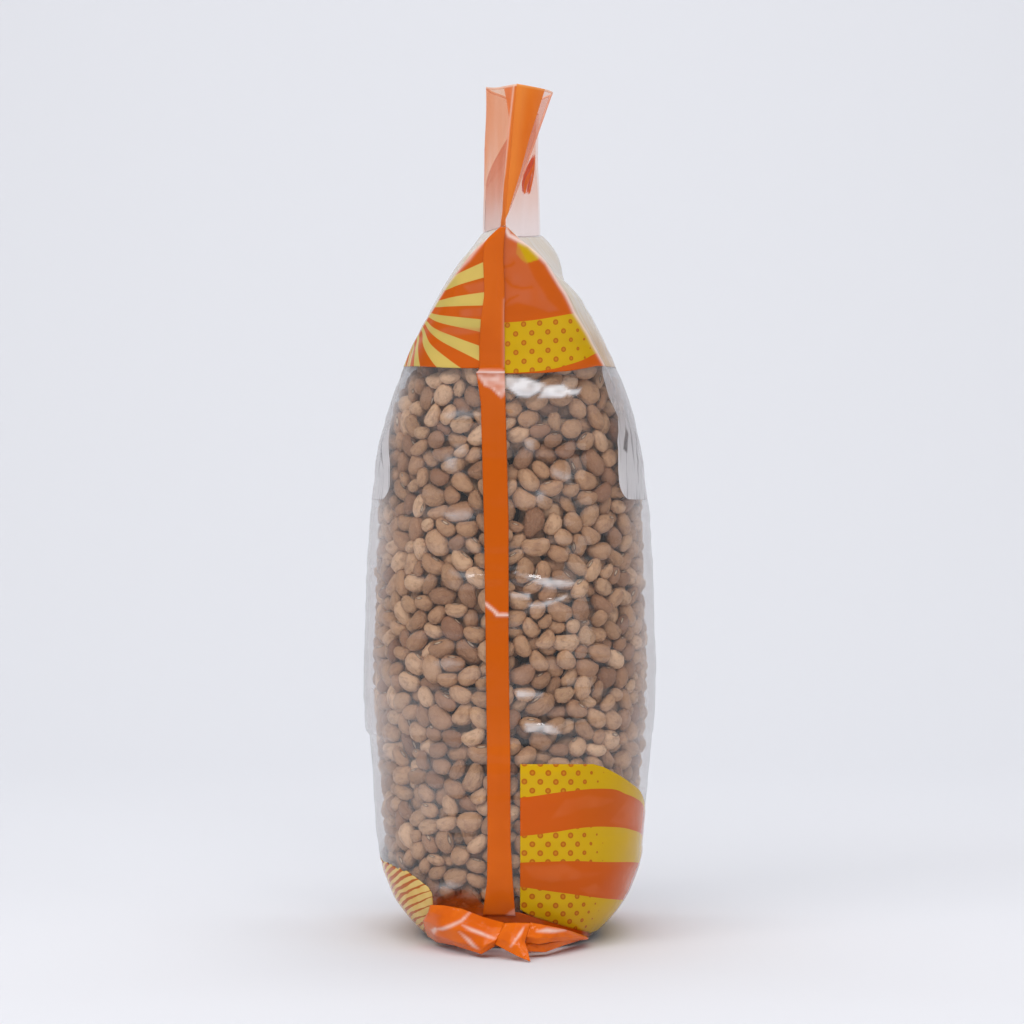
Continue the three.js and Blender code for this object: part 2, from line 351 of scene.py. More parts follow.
@dataclass(frozen=True)
class Path:
    """Corners on the bag's surface, as arc length and height in millimetres, joined by lines."""

    corners: tuple
    closed: bool = True

    def distance(self, u: Array, z: Array) -> Array:
        """Distance to its lines.

        Args:
            u: arc lengths or distances.
            z: heights.

        Returns:
            The least distance over all of its lines.
        """
        starts = np.array(self.corners, float)
        ends = np.roll(starts, -1, axis=0)
        if not self.closed:
            starts, ends = starts[:-1], ends[:-1]
        nearest = np.full(np.shape(u), np.inf)
        for (u0, z0), (du, dz) in zip(starts, ends - starts):
            share = np.clip(((u - u0) * du + (z - z0) * dz) / (du * du + dz * dz), 0, 1)
            nearest = np.minimum(nearest, np.hypot(u - u0 - share * du, z - z0 - share * dz))
        return nearest

    def patch(self, u: Array, z: Array, soft: float) -> Array:
        """1 inside and 0 outside the closed path.

        Args:
            u: arc lengths or distances.
            z: heights.
            soft: half the width of the smooth step at its edge.

        Returns:
            A smooth step of the distance, signed by how often a level ray crosses the lines.
        """
        starts = np.array(self.corners, float)
        crossings = np.zeros(np.shape(u), int)
        for (u0, z0), (u1, z1) in zip(starts, np.roll(starts, -1, axis=0)):
            level = (z1 - z0) or 1e-9
            crossings += ((z0 > z) != (z1 > z)) & (u < u0 + (z - z0) * (u1 - u0) / level)
        signed = np.where(crossings % 2 == 1, 1.0, -1.0) * self.distance(u, z)
        return smooth(-soft, soft, signed)

    def bell(self, u: Array, z: Array, width: float) -> Array:
        """1 on its lines, falling as a bell of a given half width."""
        return np.exp(-(self.distance(u, z) / width) ** 2)

    def at(self, u: Array) -> Array:
        """Second coordinate of the open path at a first one."""
        places, heights = np.array(self.corners, float).T
        return np.interp(u, places, heights)

    def beside(self, width: float) -> "Path":
        """The closed band between this open path and its copy moved along the arc length."""
        moved = [(u + width, z) for u, z in reversed(self.corners)]
        return Path((*self.corners, *moved))


def open_path(*corners: tuple) -> Path:
    """Path through corners whose ends aren't joined."""
    return Path(corners, closed=False)


def cover(paths: tuple, u: Array, z: Array, soft: float) -> Array:
    """Sum of the patches of some closed paths."""
    return sum(path.patch(u, z, soft) for path in paths)


RIDGE_RIGHT = open_path(
    (-0.4, 258), (1.5, 254.8), (9, 251.2), (15, 245.2), (18.5, 237.5), (23.2, 229), (29.8, 220.2),
    (36.2, 212.2), (45.2, 202.8))
RIDGE_LEFT = open_path(
    (-2, 258), (-8.2, 252.2), (-13.5, 246.5), (-24.5, 237.5), (-33.2, 228.8), (-41, 223),
    (-50, 217), (-57.8, 208))


class Mesher:
    """Turns grids of points in millimetres into Blender objects in metres."""

    @staticmethod
    def make(name: str, points: Array, faces: list, material: Material,
             uv: Array | None = None, attributes: dict | None = None) -> Object:
        """Make one object.

        Args:
            name: its name.
            points: vertices, n x 3.
            faces: arrays of faces, each m x 3 or m x 4.
            material: its finish.
            uv: UV of each vertex in millimetres, n x 2.
            attributes: further values of each vertex by name, n or n x 3.

        Returns:
            The object, smooth shaded, at the origin.
        """
        mesh = bpy.data.meshes.new(name)
        lists = [face for part in faces for face in part.tolist()]
        mesh.from_pydata((points * MM).tolist(), [], lists)
        if uv is not None:
            corner = np.empty(len(mesh.loops), dtype=np.int32)
            mesh.loops.foreach_get("vertex_index", corner)
            layer = mesh.uv_layers.new(name="place")
            layer.data.foreach_set("uv", (uv[corner] * MM).astype(np.float32).ravel())
        for key, values in (attributes or {}).items():
            plain = values.ndim == 1
            layer = mesh.attributes.new(key, "FLOAT" if plain else "FLOAT_VECTOR", "POINT")
            numbers = values.astype(np.float32).ravel()
            layer.data.foreach_set("value" if plain else "vector", numbers)
        mesh.materials.append(material)
        mesh.shade_smooth()
        mesh.update()
        item = bpy.data.objects.new(name, mesh)
        bpy.context.collection.objects.link(item)
        return item

    @staticmethod
    def quads(rows: int, columns: int, start: int = 0, flip: bool = False) -> Array:
        """Faces of a grid whose vertices run row by row.

        Args:
            rows: number of rows.
            columns: number of columns.
            start: index of the first vertex.
            flip: whether they face the other way.

        Returns:
            The faces, one row of four indices each.
        """
        index = start + np.arange(rows * columns).reshape(rows, columns)
        around = [index[:-1, :-1], index[:-1, 1:], index[1:, 1:], index[1:, :-1]]
        faces = np.stack([part.ravel() for part in around], axis=1)
        return faces[:, ::-1] if flip else faces

    @staticmethod
    def rings(count: int, around: int, start: int = 0) -> tuple:
        """Faces between closed rings of points.

        Args:
            count: number of rings.
            around: points of each ring.
            start: index of the first point.

        Returns:
            The faces, the indices ring by ring, and those of each point's next neighbour.
        """
        index = start + np.arange(count * around).reshape(count, around)
        following = np.roll(index, -1, axis=1)
        sides = [index[:-1], following[:-1], following[1:], index[1:]]
        return np.stack([part.ravel() for part in sides], axis=1), index, following

    @classmethod
    def sheet(cls, grids: list, thickness: float) -> tuple[Array, list, Array]:
        """Closed thin sheets from grids of points: a face, a back and a rim each.

        Args:
            grids: pairs of points, rows x columns x 3, and UV, rows x columns x 2. Columns run to
                the right and rows upwards, seen from the face.
            thickness: distance from the face to the back.

        Returns:
            Points, faces and UV of all sheets together.
        """
        points, faces, places, start = [], [], [], 0
        for grid, uv in grids:
            rows, columns = grid.shape[:2]
            normal = np.cross(np.gradient(grid, axis=1), np.gradient(grid, axis=0))
            normal /= np.maximum(np.linalg.norm(normal, axis=2, keepdims=True), 1e-9)
            back = start + rows * columns
            points += [grid.reshape(-1, 3), (grid - normal * thickness).reshape(-1, 3)]
            places += [uv.reshape(-1, 2)] * 2
            faces += [cls.quads(rows, columns, start), cls.quads(rows, columns, back, flip=True)]
            index = np.arange(rows * columns).reshape(rows, columns)
            rim = np.concatenate([index[0, :], index[1:, -1], index[-1, -2::-1], index[-2::-1, 0]])
            pairs = np.stack([rim[:-1] + back, rim[1:] + back, rim[1:] + start, rim[:-1] + start])
            faces.append(pairs.T)
            start += 2 * rows * columns
        return np.concatenate(points), faces, np.concatenate(places)


class Sum:
    """A number that shader nodes work out; arithmetic on it adds Math nodes."""

    def __init__(self, tree: NodeTree, socket: NodeSocket) -> None:
        """Keep the tree and the socket that gives the number."""
        self.tree = tree
        self.socket = socket

    def math(self, kind: str, *others: "Sum | float") -> "Sum":
        """One Math node on this number and others.

        Args:
            kind: Blender's name of the operation.
            others: its further numbers.

        Returns:
            The result.
        """
        node = self.tree.nodes.new("ShaderNodeMath")
        node.operation = kind
        for slot, value in zip(node.inputs, (self, *others)):
            if isinstance(value, Sum):
                self.tree.links.new(value.socket, slot)
            else:
                slot.default_value = value
        return Sum(self.tree, node.outputs[0])

    def __add__(self, other: "Sum | float") -> "Sum":
        """Add."""
        return self.math("ADD", other)

    def __sub__(self, other: "Sum | float") -> "Sum":
        """Subtract."""
        return self.math("SUBTRACT", other)

    def __mul__(self, other: "Sum | float") -> "Sum":
        """Multiply."""
        return self.math("MULTIPLY", other)

    def __truediv__(self, other: "Sum | float") -> "Sum":
        """Divide."""
        return self.math("DIVIDE", other)

    def above(self, limit: "Sum | float") -> "Sum":
        """1 where this number is above a limit, else 0."""
        return self.math("GREATER_THAN", limit)

    def below(self, limit: "Sum | float") -> "Sum":
        """1 where this number is below a limit, else 0."""
        return self.math("LESS_THAN", limit)

    def step(self, start: float, end: float) -> "Sum":
        """Smooth step from 0 at start to 1 at end.

        Args:
            start: where the step begins.
            end: where it ends, which may lie below it.

        Returns:
            The step of this number.
        """
        node = self.tree.nodes.new("ShaderNodeMapRange")
        node.interpolation_type = "SMOOTHSTEP"
        self.tree.links.new(self.socket, node.inputs["Value"])
        low, high = min(start, end), max(start, end)
        node.inputs["From Min"].default_value = low
        node.inputs["From Max"].default_value = high
        node.inputs["To Min"].default_value = 0.0 if start < end else 1.0
        node.inputs["To Max"].default_value = 1.0 if start < end else 0.0
        return Sum(self.tree, node.outputs["Result"])


class Shader:
    """A material's node tree with short calls for the nodes that the finishes use."""

    def __init__(self, name: str) -> None:
        """Make an empty material.

        Args:
            name: the material's name.
        """
        self.material = bpy.data.materials.new(name)
        self.material.use_nodes = True
        self.tree = self.material.node_tree
        self.tree.nodes.clear()
        self.output = self.tree.nodes.new("ShaderNodeOutputMaterial")

    def node(self, kind: str, **inputs: object) -> Node:
        """Add a node and set or link its inputs by name, with spaces written as underscores."""
        node = self.tree.nodes.new(kind)
        for key, value in inputs.items():
            self.feed(node.inputs[key.replace("_", " ")], value)
        return node

    def feed(self, slot: NodeSocket, value: object) -> None:
        """Link a sum or a socket to an input, or set the input's own value."""
        if isinstance(value, Sum):
            self.tree.links.new(value.socket, slot)
        elif isinstance(value, NodeSocket):
            self.tree.links.new(value, slot)
        else:
            slot.default_value = value

    def place(self) -> tuple[Sum, Sum]:
        """The piece's UV in millimetres."""
        uv = self.node("ShaderNodeUVMap")
        uv.uv_map = "place"
        parts = self.node("ShaderNodeSeparateXYZ", Vector=uv.outputs["UV"])
        return tuple(Sum(self.tree, parts.outputs[name]) * (1 / MM) for name in "XY")

    def spot(self) -> NodeSocket:
        """Object coordinates in metres."""
        return self.node("ShaderNodeTexCoord").outputs["Object"]

    def attribute(self, name: str) -> Node:
        """The node that reads a named attribute of the mesh."""
        node = self.node("ShaderNodeAttribute")
        node.attribute_name = name
        return node

    def mark(self, name: str) -> Sum:
        """A named value of the mesh."""
        return Sum(self.tree, self.attribute(name).outputs["Fac"])

    def facing(self) -> Sum:
        """0 where the film is seen square on, rising to 1 at grazing view."""
        return Sum(self.tree, self.node("ShaderNodeLayerWeight", Blend=0.5).outputs["Facing"])

    def socket(self, kind: str, **inputs: object) -> NodeSocket:
        """The first output of a new node."""
        return self.node(kind, **inputs).outputs[0]

    def blend(self, share: Sum | float, first: NodeSocket,
              second: NodeSocket) -> NodeSocket:
        """Blend two shaders by a share."""
        node = self.node("ShaderNodeMixShader", Fac=share)
        self.feed(node.inputs[1], first)
        self.feed(node.inputs[2], second)
        return node.outputs[0]

    def profile(self, value: Sum, path: Path) -> Sum:
        """Height of a smooth curve through an open path's corners, at a value along it."""
        corners = np.array(path.corners, float)
        low, span = corners.min(axis=0), np.ptp(corners, axis=0)
        node = self.tree.nodes.new("ShaderNodeFloatCurve")
        points = node.mapping.curves[0].points
        shares = (corners - low) / span
        points[0].location, points[1].location = shares[0], shares[-1]
        for share in shares[1:-1]:
            points.new(*share)
        node.mapping.update()
        self.feed(node.inputs["Value"], (value - float(low[0])) / float(span[0]))
        return Sum(self.tree, node.outputs[0]) * float(span[1]) + float(low[1])

    def vector(self, x: Sum | float, y: Sum | float, z: Sum | float = 0.0) -> NodeSocket:
        """A vector of three numbers."""
        return self.node("ShaderNodeCombineXYZ", X=x, Y=y, Z=z).outputs[0]

    def noise(self, place: NodeSocket, scale: float, detail: float = 2.0,
              roughness: float = 0.5) -> Sum:
        """Fractal noise from 0 to 1 at a place.

        Args:
            place: the coordinates.
            scale: bumps for each unit of them.
            detail: octaves.
            roughness: share of the finer octaves.

        Returns:
            The noise.
        """
        node = self.node("ShaderNodeTexNoise", Vector=place, Scale=scale, Detail=detail,
                         Roughness=roughness)
        return Sum(self.tree, node.outputs["Fac"])

    def mix(self, share: Sum | float, first: object, second: object) -> NodeSocket:
        """Blend two colours by a share."""
        node = self.tree.nodes.new("ShaderNodeMix")
        node.data_type = "RGBA"
        self.feed(node.inputs[0], share)
        self.feed(node.inputs[6], first)
        self.feed(node.inputs[7], second)
        return node.outputs[2]

    def bump(self, height: Sum, distance: float, strength: float = 1.0) -> NodeSocket:
        """A bumped normal.

        Args:
            height: relief from 0 to 1.
            distance: height of the relief in millimetres.
            strength: share of it that shows.

        Returns:
            The normal.
        """
        node = self.node("ShaderNodeBump", Height=height, Distance=distance * MM,
                         Strength=strength)
        return node.outputs["Normal"]

    def surface(self, shader: NodeSocket) -> Material:
        """Link the shader to the output and give the finished material."""
        self.tree.links.new(shader, self.output.inputs["Surface"])
        return self.material


@dataclass(frozen=True)
class ClearFilm:
    """Clear glossy film: see-through, faintly milky, with a gloss that grows at grazing view."""

    name: str = "clear_film"
    clear: tuple = (0.985, 0.98, 0.985, 1.0)
    # White of the milkiness and of the painted white highlights.
    milk_and_highlights: tuple = (0.93, 0.90, 0.90, 1.0)
    milk: float = 0.012
    # Milkiness at grazing view: partly real, partly a painted reflection of the white
    # surroundings.
    edge_milk_and_glare: float = 0.26
    most_milk: float = 0.95
    square_gloss: float = 0.075
    grazing_gloss: float = 0.85
    roughness: float = 0.06

    def build(self) -> Material:
        """Mix clear film, milkiness that is partly a painted grazing reflection, painted
        highlights, gloss.
        """
        shader = Shader(self.name)
        facing = shader.facing()
        milk = facing.math("POWER", 3.0) * self.edge_milk_and_glare + self.milk
        # Adds the mesh's milkiness and its painted white highlights.
        milk = (milk + shader.mark("milk_and_highlights")).math("MINIMUM", self.most_milk)
        clear = shader.socket("ShaderNodeBsdfTransparent", Color=self.clear)
        milk_and_highlights = shader.socket("ShaderNodeBsdfDiffuse", Color=self.milk_and_highlights)
        body = shader.blend(milk, clear, milk_and_highlights)
        mirror = facing.math("POWER", 5.0) * (self.grazing_gloss - self.square_gloss)
        gloss = shader.socket("ShaderNodeBsdfGlossy", Roughness=self.roughness)
        return shader.surface(shader.blend(mirror + self.square_gloss, body, gloss))


@dataclass(frozen=True)
class Inks:
    """Colours of the printed film under even white light, and of painted highlights on it."""

    orange: tuple = srgb(208, 92, 14)
    deep_orange: tuple = srgb(197, 88, 12)
    bright_orange: tuple = srgb(248, 132, 38)
    light_orange: tuple = srgb(242, 140, 60)
    shaded_orange: tuple = srgb(150, 66, 24)
    fold_orange: tuple = srgb(232, 110, 20)
    yellow: tuple = srgb(202, 160, 6)
    pale_yellow: tuple = srgb(216, 186, 96)
    straw: tuple = srgb(226, 188, 104)
    stroke: tuple = srgb(188, 96, 34)
    ring: tuple = srgb(180, 98, 18)
    ring_heart: tuple = srgb(198, 128, 30)
    # Painted highlight colour of a reflection on the orange print.
    painted_glare: tuple = srgb(204, 106, 68)
    # Painted highlight colour on the dots and in the painted grazing reflection.
    painted_cream: tuple = srgb(250, 245, 230)
    # Painted highlight colour of lit ridges, folds and seal edges.
    painted_blush: tuple = srgb(250, 226, 216)
    white: tuple = srgb(238, 234, 235)
    peach: tuple = srgb(252, 158, 108)
    neck: tuple = srgb(253, 222, 212)


INKS = Inks()


@dataclass(frozen=True)
class GlossyInk:
    """Printed film: ink colours behind a smooth, faintly wavy gloss."""

    roughness: float = 0.14
    wave: float = 0.5
    wave_share: float = 0.35
    gloss: float = 0.11

    def build(self, shader: Shader, colour: object,
              alpha: Sum | float = 1.0) -> Material:
        """Finish a printed film.

        Args:
            shader: the tree that holds the colour's nodes.
            colour: the ink's colour.
            alpha: how opaque it is.

        Returns:
            The material.
        """
        relief = shader.noise(shader.spot(), 90.0, 3.0)
        normal = shader.bump(relief, self.wave, self.wave_share)
        coat = shader.socket("ShaderNodeBsdfPrincipled", Base_Color=colour, Alpha=alpha,
                             Roughness=self.roughness, Specular_IOR_Level=self.gloss,
                             Normal=normal)
        return shader.surface(coat)


@dataclass(frozen=True)
class RingDots:
    """Staggered rows of small rings on a ground colour, sizes in millimetres."""

    pitch: float = 5.7
    row: float = 3.2
    radius: float = 1.08
    heart: float = 0.5
    start_u: float = 2.15
    start_v: float = 222.35

    def colour(self, shader: Shader, u: Sum, v: Sum, fade: Sum) -> NodeSocket:
        """Ground, rings and their lighter hearts.

        Args:
            shader: the tree.
            u: place along a row.
            v: place across the rows.
            fade: 1 where the rings are whole and 0 where they are gone.

        Returns:
            The colour: the distance to the nearest point of a staggered lattice picks the ink.
        """
        u, v = u - self.start_u, v - (self.start_v - 200 * self.row)
        line = (v / self.row).math("FLOOR")
        shift = line.math("MODULO", 2.0) * (self.pitch / 2)
        du = ((u + shift) / self.pitch + 100.0).math("FRACT") * self.pitch - self.pitch / 2
        dv = (v / self.row).math("FRACT") * self.row - self.row / 2
        distance = (du * du + dv * dv).math("SQRT") + (fade * -1.0 + 1.0) * self.radius
        ring = distance.step(self.radius, self.radius - 0.25)
        heart = distance.step(self.heart + 0.15, self.heart - 0.15)
        ground = shader.mix(shader.noise(shader.spot(), 45.0, 3.0).step(0.3, 0.7) * 0.5,
                            INKS.yellow, srgb(214, 170, 30))
        inked = shader.mix(ring, ground, INKS.ring)
        return shader.mix(heart * 0.8, inked, INKS.ring_heart)


@dataclass(frozen=True)
class Rays:
    """A fan of rays round a point of the sheet: where it is, and which angle each ray has."""

    u: float
    v: float
    angles: Path
    share: float = 0.48
    first: float = -360.0

    def mask(self, shader: Shader, u: Sum, v: Sum) -> Sum:
        """1 on the rays and 0 between them.

        Args:
            shader: the tree.
            u: place round the bag.
            v: place up the bag.

        Returns:
            The angle below level about the middle gives a number that is whole on each ray.
        """
        angle = (v - self.v).math("ARCTAN2", u - self.u) * (-180 / math.pi)
        number = shader.profile(angle, self.angles) + 100.0
        away = ((number + 0.5).math("FRACT") - 0.5).math("ABSOLUTE")
        return away.step(self.share / 2 + 0.015, self.share / 2 - 0.015) * angle.above(self.first)


EVEN_RAYS = open_path((-180, -15), (180, 15))


@dataclass(frozen=True)
class CollarPrint:
    """Print of the shoulders: a fan of rays on one side of the fin, dotted bands on the other."""

    name: str = "collar_print"
    left_rays: Rays = Rays(-48.0, 230.0, open_path(
        (-50, -3), (-32, -1), (-18, 0), (-4.5, 1), (9.4, 2), (22.8, 3), (38.5, 4), (63.3, 5),
        (90, 6.2)), first=-25.0)
    broad_rays: tuple = (Rays(-48.0, 230.0, EVEN_RAYS), Rays(98.0, 214.0, EVEN_RAYS))
    dots: RingDots = RingDots()
    band_low: Path = open_path(
        (-6, 207.4), (4, 207.7), (12.8, 208.5), (21.5, 210.5), (34, 214.8), (50, 221), (98, 214))
    band_high: Path = open_path(
        (-6, 224.6), (7.2, 225.5), (14.2, 226.5), (23.2, 228.2), (36, 231.5), (50, 236), (98, 214))
    tilt: float = 0.065
    fin_edge: float = -5.0
    # Reach and colours of the painted pale reflection of the white surroundings at grazing view.
    pale_width: float = 26.0
    beyond_width: float = 300.0
    painted_reflection: tuple = (srgb(255, 250, 242), srgb(244, 226, 190), srgb(232, 176, 140))
    painted_low_reflection: tuple = srgb(226, 178, 130)
    patch: Path = Path((
        (4.6, 252.6), (4.2, 248.5), (6, 246.4), (7.6, 245.2), (12.5, 246.6), (11.6, 249.6),
        (8, 251.6)))
    # Patches of painted highlight, a reflection on the orange print.
    painted_sheen: tuple = (
        Path(((-0.2, 257), (4.2, 252.8), (7.8, 246), (9.8, 239.8), (13.5, 233), (17.5, 229.2),
              (14, 228.5), (7.5, 230.8), (3, 231.8), (-0.5, 230.8), (-4, 229.2), (-4, 257))),
        Path(((-16.2, 237.5), (-8, 239.2), (-8, 235.5), (-13.8, 235))),
        Path(((-17.5, 229.2), (-8, 230.2), (-8, 227.2), (-17.5, 226.8))),
        Path(((-26.8, 222.2), (-21.8, 223.5), (-9, 222.8), (-9, 221.5), (-19, 220.5))),
    )
    dents: tuple = (
        open_path((-0.8, 244), (1.8, 244.5), (3, 245.4)),
        open_path((-0.8, 239.8), (1.2, 237.5), (4.8, 236.6), (8.2, 237)),
        open_path((-1.8, 230.8), (0.2, 233), (3.2, 234.2)),
    )

    def marks(self, u: Array, z: Array) -> dict:
        """Values of the vertices.

        Args:
            u: arc lengths from the near middle.
            z: heights.

        Returns:
            Painted highlights in bright patches, bands beside the ridges and broad sides beyond
            them for the painted grazing reflection, painted highlight lines on the ridges, and the
            small patch.
        """
        painted_sheen = cover(self.painted_sheen, u, z, 0.6)
        painted_sheen = painted_sheen * (0.8 + 0.35 * Noise(71).over(u, z, (3, 3)))
        dents = sum(path.bell(u, z, 0.45) for path in self.dents)
        pale, beyond = (
            cover((RIDGE_RIGHT.beside(width), RIDGE_LEFT.beside(-width)), u, z, 0.7)
            for width in (self.pale_width, self.beyond_width))
        # Painted highlight lines along the ridges.
        line = RIDGE_RIGHT.bell(u, z, 0.7) + 0.6 * RIDGE_LEFT.bell(u, z, 0.6)
        marks = {"painted_sheen": painted_sheen - dents, "pale": pale, "beyond": beyond, "line": line}
        marks = {name: np.clip(value, 0, 1) for name, value in marks.items()}
        return {**marks, "patch": self.patch.patch(u, z, 0.25)}

    def build(self) -> Material:
        """Orange ground, rays to the left of the fin, a yellow dotted band to its right.

        Returns:
            The material: rays on the broad sides too, under a painted pale reflection of the white
            surroundings beside and beyond the ridges where the film is seen at a grazing angle.
        """
        shader = Shader(self.name)
        u, v = shader.place()
        ground = shader.mix(shader.noise(shader.spot(), 35.0, 3.0).step(0.3, 0.7),
                            INKS.orange, INKS.deep_orange)
        olive = shader.noise(shader.spot(), 55.0, 3.0).step(0.35, 0.7)
        straw = shader.mix(olive * 0.7, INKS.pale_yellow, srgb(192, 174, 92))
        left = shader.mix(self.left_rays.mask(shader, u, v), ground, straw)
        inside = (v - shader.profile(u, self.band_low)).above(0.0)
        inside = inside * (v - shader.profile(u, self.band_high)).below(0.0)
        dotted = self.dots.colour(shader, u, v - u * self.tilt, u.step(40.0, 17.0))
        right = shader.mix(inside, ground, dotted)
        right = shader.mix(shader.mark("patch"), right, INKS.yellow)
        colour = shader.mix(u.above(self.fin_edge), left, right)
        for side, rays in zip((-1.0, 1.0), self.broad_rays):
            broad = shader.mix(rays.mask(shader, u, v), ground, INKS.pale_yellow)
            colour = shader.mix((u * side).above(rays.u * side), colour, broad)
        # Painted highlight patches over the print.
        colour = shader.mix(shader.mark("painted_sheen") * 0.6, colour, INKS.painted_glare)
        streak = shader.noise(shader.vector((u - v * -0.6) * 0.9, v * 0.05), 1.0, 3.0, 0.6)
        white, painted_cream, peach = self.painted_reflection
        painted_reflection = shader.mix(streak.step(0.42, 0.62), white, painted_cream)
        painted_reflection = shader.mix(streak.step(0.62, 0.7) * 0.7, painted_reflection, peach)
        painted_reflection = shader.mix(v.step(236.0, 214.0) * 0.5, painted_reflection, self.painted_low_reflection)
        # Painted reflection: pale and a little see-through at grazing view beside and beyond the
        # ridges.
        facing = shader.facing()
        pale = shader.mark("pale") * facing.step(0.3, 0.55)
        pale = pale.math("MAXIMUM", shader.mark("beyond") * facing.step(0.45, 0.7))
        colour = shader.mix(pale, colour, painted_reflection)
        # Painted highlight lines on the ridges.
        colour = shader.mix(shader.mark("line") * 0.9, colour, INKS.painted_blush)
        return GlossyInk().build(shader, colour, pale * -0.3 + 1.0)


@dataclass(frozen=True)
class BandPrint:
    """Print of the lower right: wavy bands of orange and dotted yellow."""

    name: str = "band_print"
    dots: RingDots = RingDots(radius=1.2, heart=0.5, start_u=5.1, start_v=63.7)
    upper_high: Path = open_path(
        (0, 55.9), (4.2, 56.2), (22, 58.2), (34.2, 58.5), (51.8, 55), (64.2, 51.8), (90, 45),
        (150, 40))
    upper_low: Path = open_path(
        (0, 42.3), (4.2, 42.5), (14.8, 43.5), (30, 44.8), (39.8, 44.2), (62.2, 40.5), (90, 35),
        (150, 30))
    lower_high: Path = open_path(
        (0, 32.8), (22, 32.9), (35, 31.8), (63.5, 28.8), (90, 25), (150, 20))
    lower_low: Path = open_path(
        (0, 24.6), (3.5, 24), (14.8, 22), (22, 20.8), (43, 17), (63, 14), (90, 11), (150, 8))
    # Patches of painted highlight, a reflection on the bands.
    painted_sheen: tuple = (
        Path(((20, 55), (30, 56.5), (42, 53.8), (36, 52), (27, 51.8), (22, 50), (15, 48.5))),
        Path(((40, 46), (52, 53.8), (60, 51), (60, 42.5), (48, 44))),
        Path(((5, 31.5), (20, 32), (27, 28.5), (36, 27.8), (30, 26.5), (15, 25.5), (8, 27))),
        Path(((26, 22.5), (33, 24), (37, 21), (40, 19), (30, 20.2))),
        Path(((50, 29), (62, 28), (62, 16), (52, 18))),
    )

    def marks(self, u: Array, z: Array) -> dict:
        """Values of the vertices: soft painted highlights on the orange and the dots."""
        painted_sheen = cover(self.painted_sheen, u, z, 0.8)
        painted_sheen = painted_sheen * (0.75 + 0.45 * Noise(72).over(u, z, (4, 3)))
        return {"painted_sheen": np.clip(painted_sheen, 0, 1)}

    def build(self) -> Material:
        """Yellow dotted ground with two orange bands between wavy edges."""
        shader = Shader(self.name)
        u, v = shader.place()
        inside = 0.0
        for low, high in ((self.lower_low, self.lower_high), (self.upper_low, self.upper_high)):
            above, below = v - shader.profile(u, low), v - shader.profile(u, high)
            inside = above.above(0.0) * below.below(0.0) + inside
        dotted = self.dots.colour(shader, u, v + u * 0.03, u.step(44.0, 22.0))
        orange = shader.mix(shader.noise(shader.spot(), 30.0, 3.0).step(0.3, 0.7),
                            INKS.deep_orange, srgb(202, 87, 16))
        # Painted highlights over the orange bands and, fainter, the dots.
        orange = shader.mix(shader.mark("painted_sheen") * 0.5, orange, srgb(208, 104, 52))
        dotted = shader.mix(shader.mark("painted_sheen") * 0.25, dotted, INKS.painted_cream)
        return GlossyInk().build(shader, shader.mix(inside, dotted, orange))


@dataclass(frozen=True)
class RayPrint:
    """Print of the lower left: tapered orange strokes on pale yellow."""

    name: str = "ray_print"
    tilt: float = 20.0
    spacing: float = 2.75

    def build(self) -> Material:
        """Pale yellow ground with slanting strokes that thin out towards the fin."""
        shader = Shader(self.name)
        u, v = shader.place()
        wave = shader.noise(shader.vector(u * 0.12, v * 0.3), 1.0, 2.0) * 1.6
        turn = math.radians(self.tilt)
        across = (v * math.cos(turn) - u * math.sin(turn) + wave) / self.spacing
        away = ((across + 100.0).math("FRACT") - 0.5).math("ABSOLUTE")
        width = u.step(-28.0, -52.0) * 0.2 + 0.06
        stroke = (width - away).step(-0.03, 0.03)
        cloud = shader.noise(shader.spot(), 120.0, 2.0).step(0.35, 0.7)
        ground = shader.mix(cloud, INKS.straw, srgb(232, 202, 128))
        return GlossyInk().build(shader, shader.mix(stroke, ground, INKS.stroke))


@dataclass(frozen=True)
class PlainInk:
    """One opaque ink with faint clouds, deeper where the mesh says so, painted highlights where it
    says so.
    """

    name: str
    colour: tuple
    shade: tuple
    roughness: float = 0.14
    cloud: float = 60.0
    # Colour of the painted highlights.
    painted_sheen: tuple = INKS.painted_blush
    gloss: float = 0.11

    def build(self) -> Material:
        """Blend the colour and its shade by noise, then the deep marks and the painted highlights.
        """
        shader = Shader(self.name)
        cloud = shader.noise(shader.spot(), self.cloud, 3.0)
        colour = shader.mix(cloud.step(0.3, 0.7), self.colour, self.shade)
        colour = shader.mix(shader.mark("deep"), colour, INKS.deep_orange)
        # Painted highlights where the mesh marks them.
        colour = shader.mix(shader.mark("painted_sheen"), colour, self.painted_sheen)
        return GlossyInk(self.roughness, gloss=self.gloss).build(shader, colour)


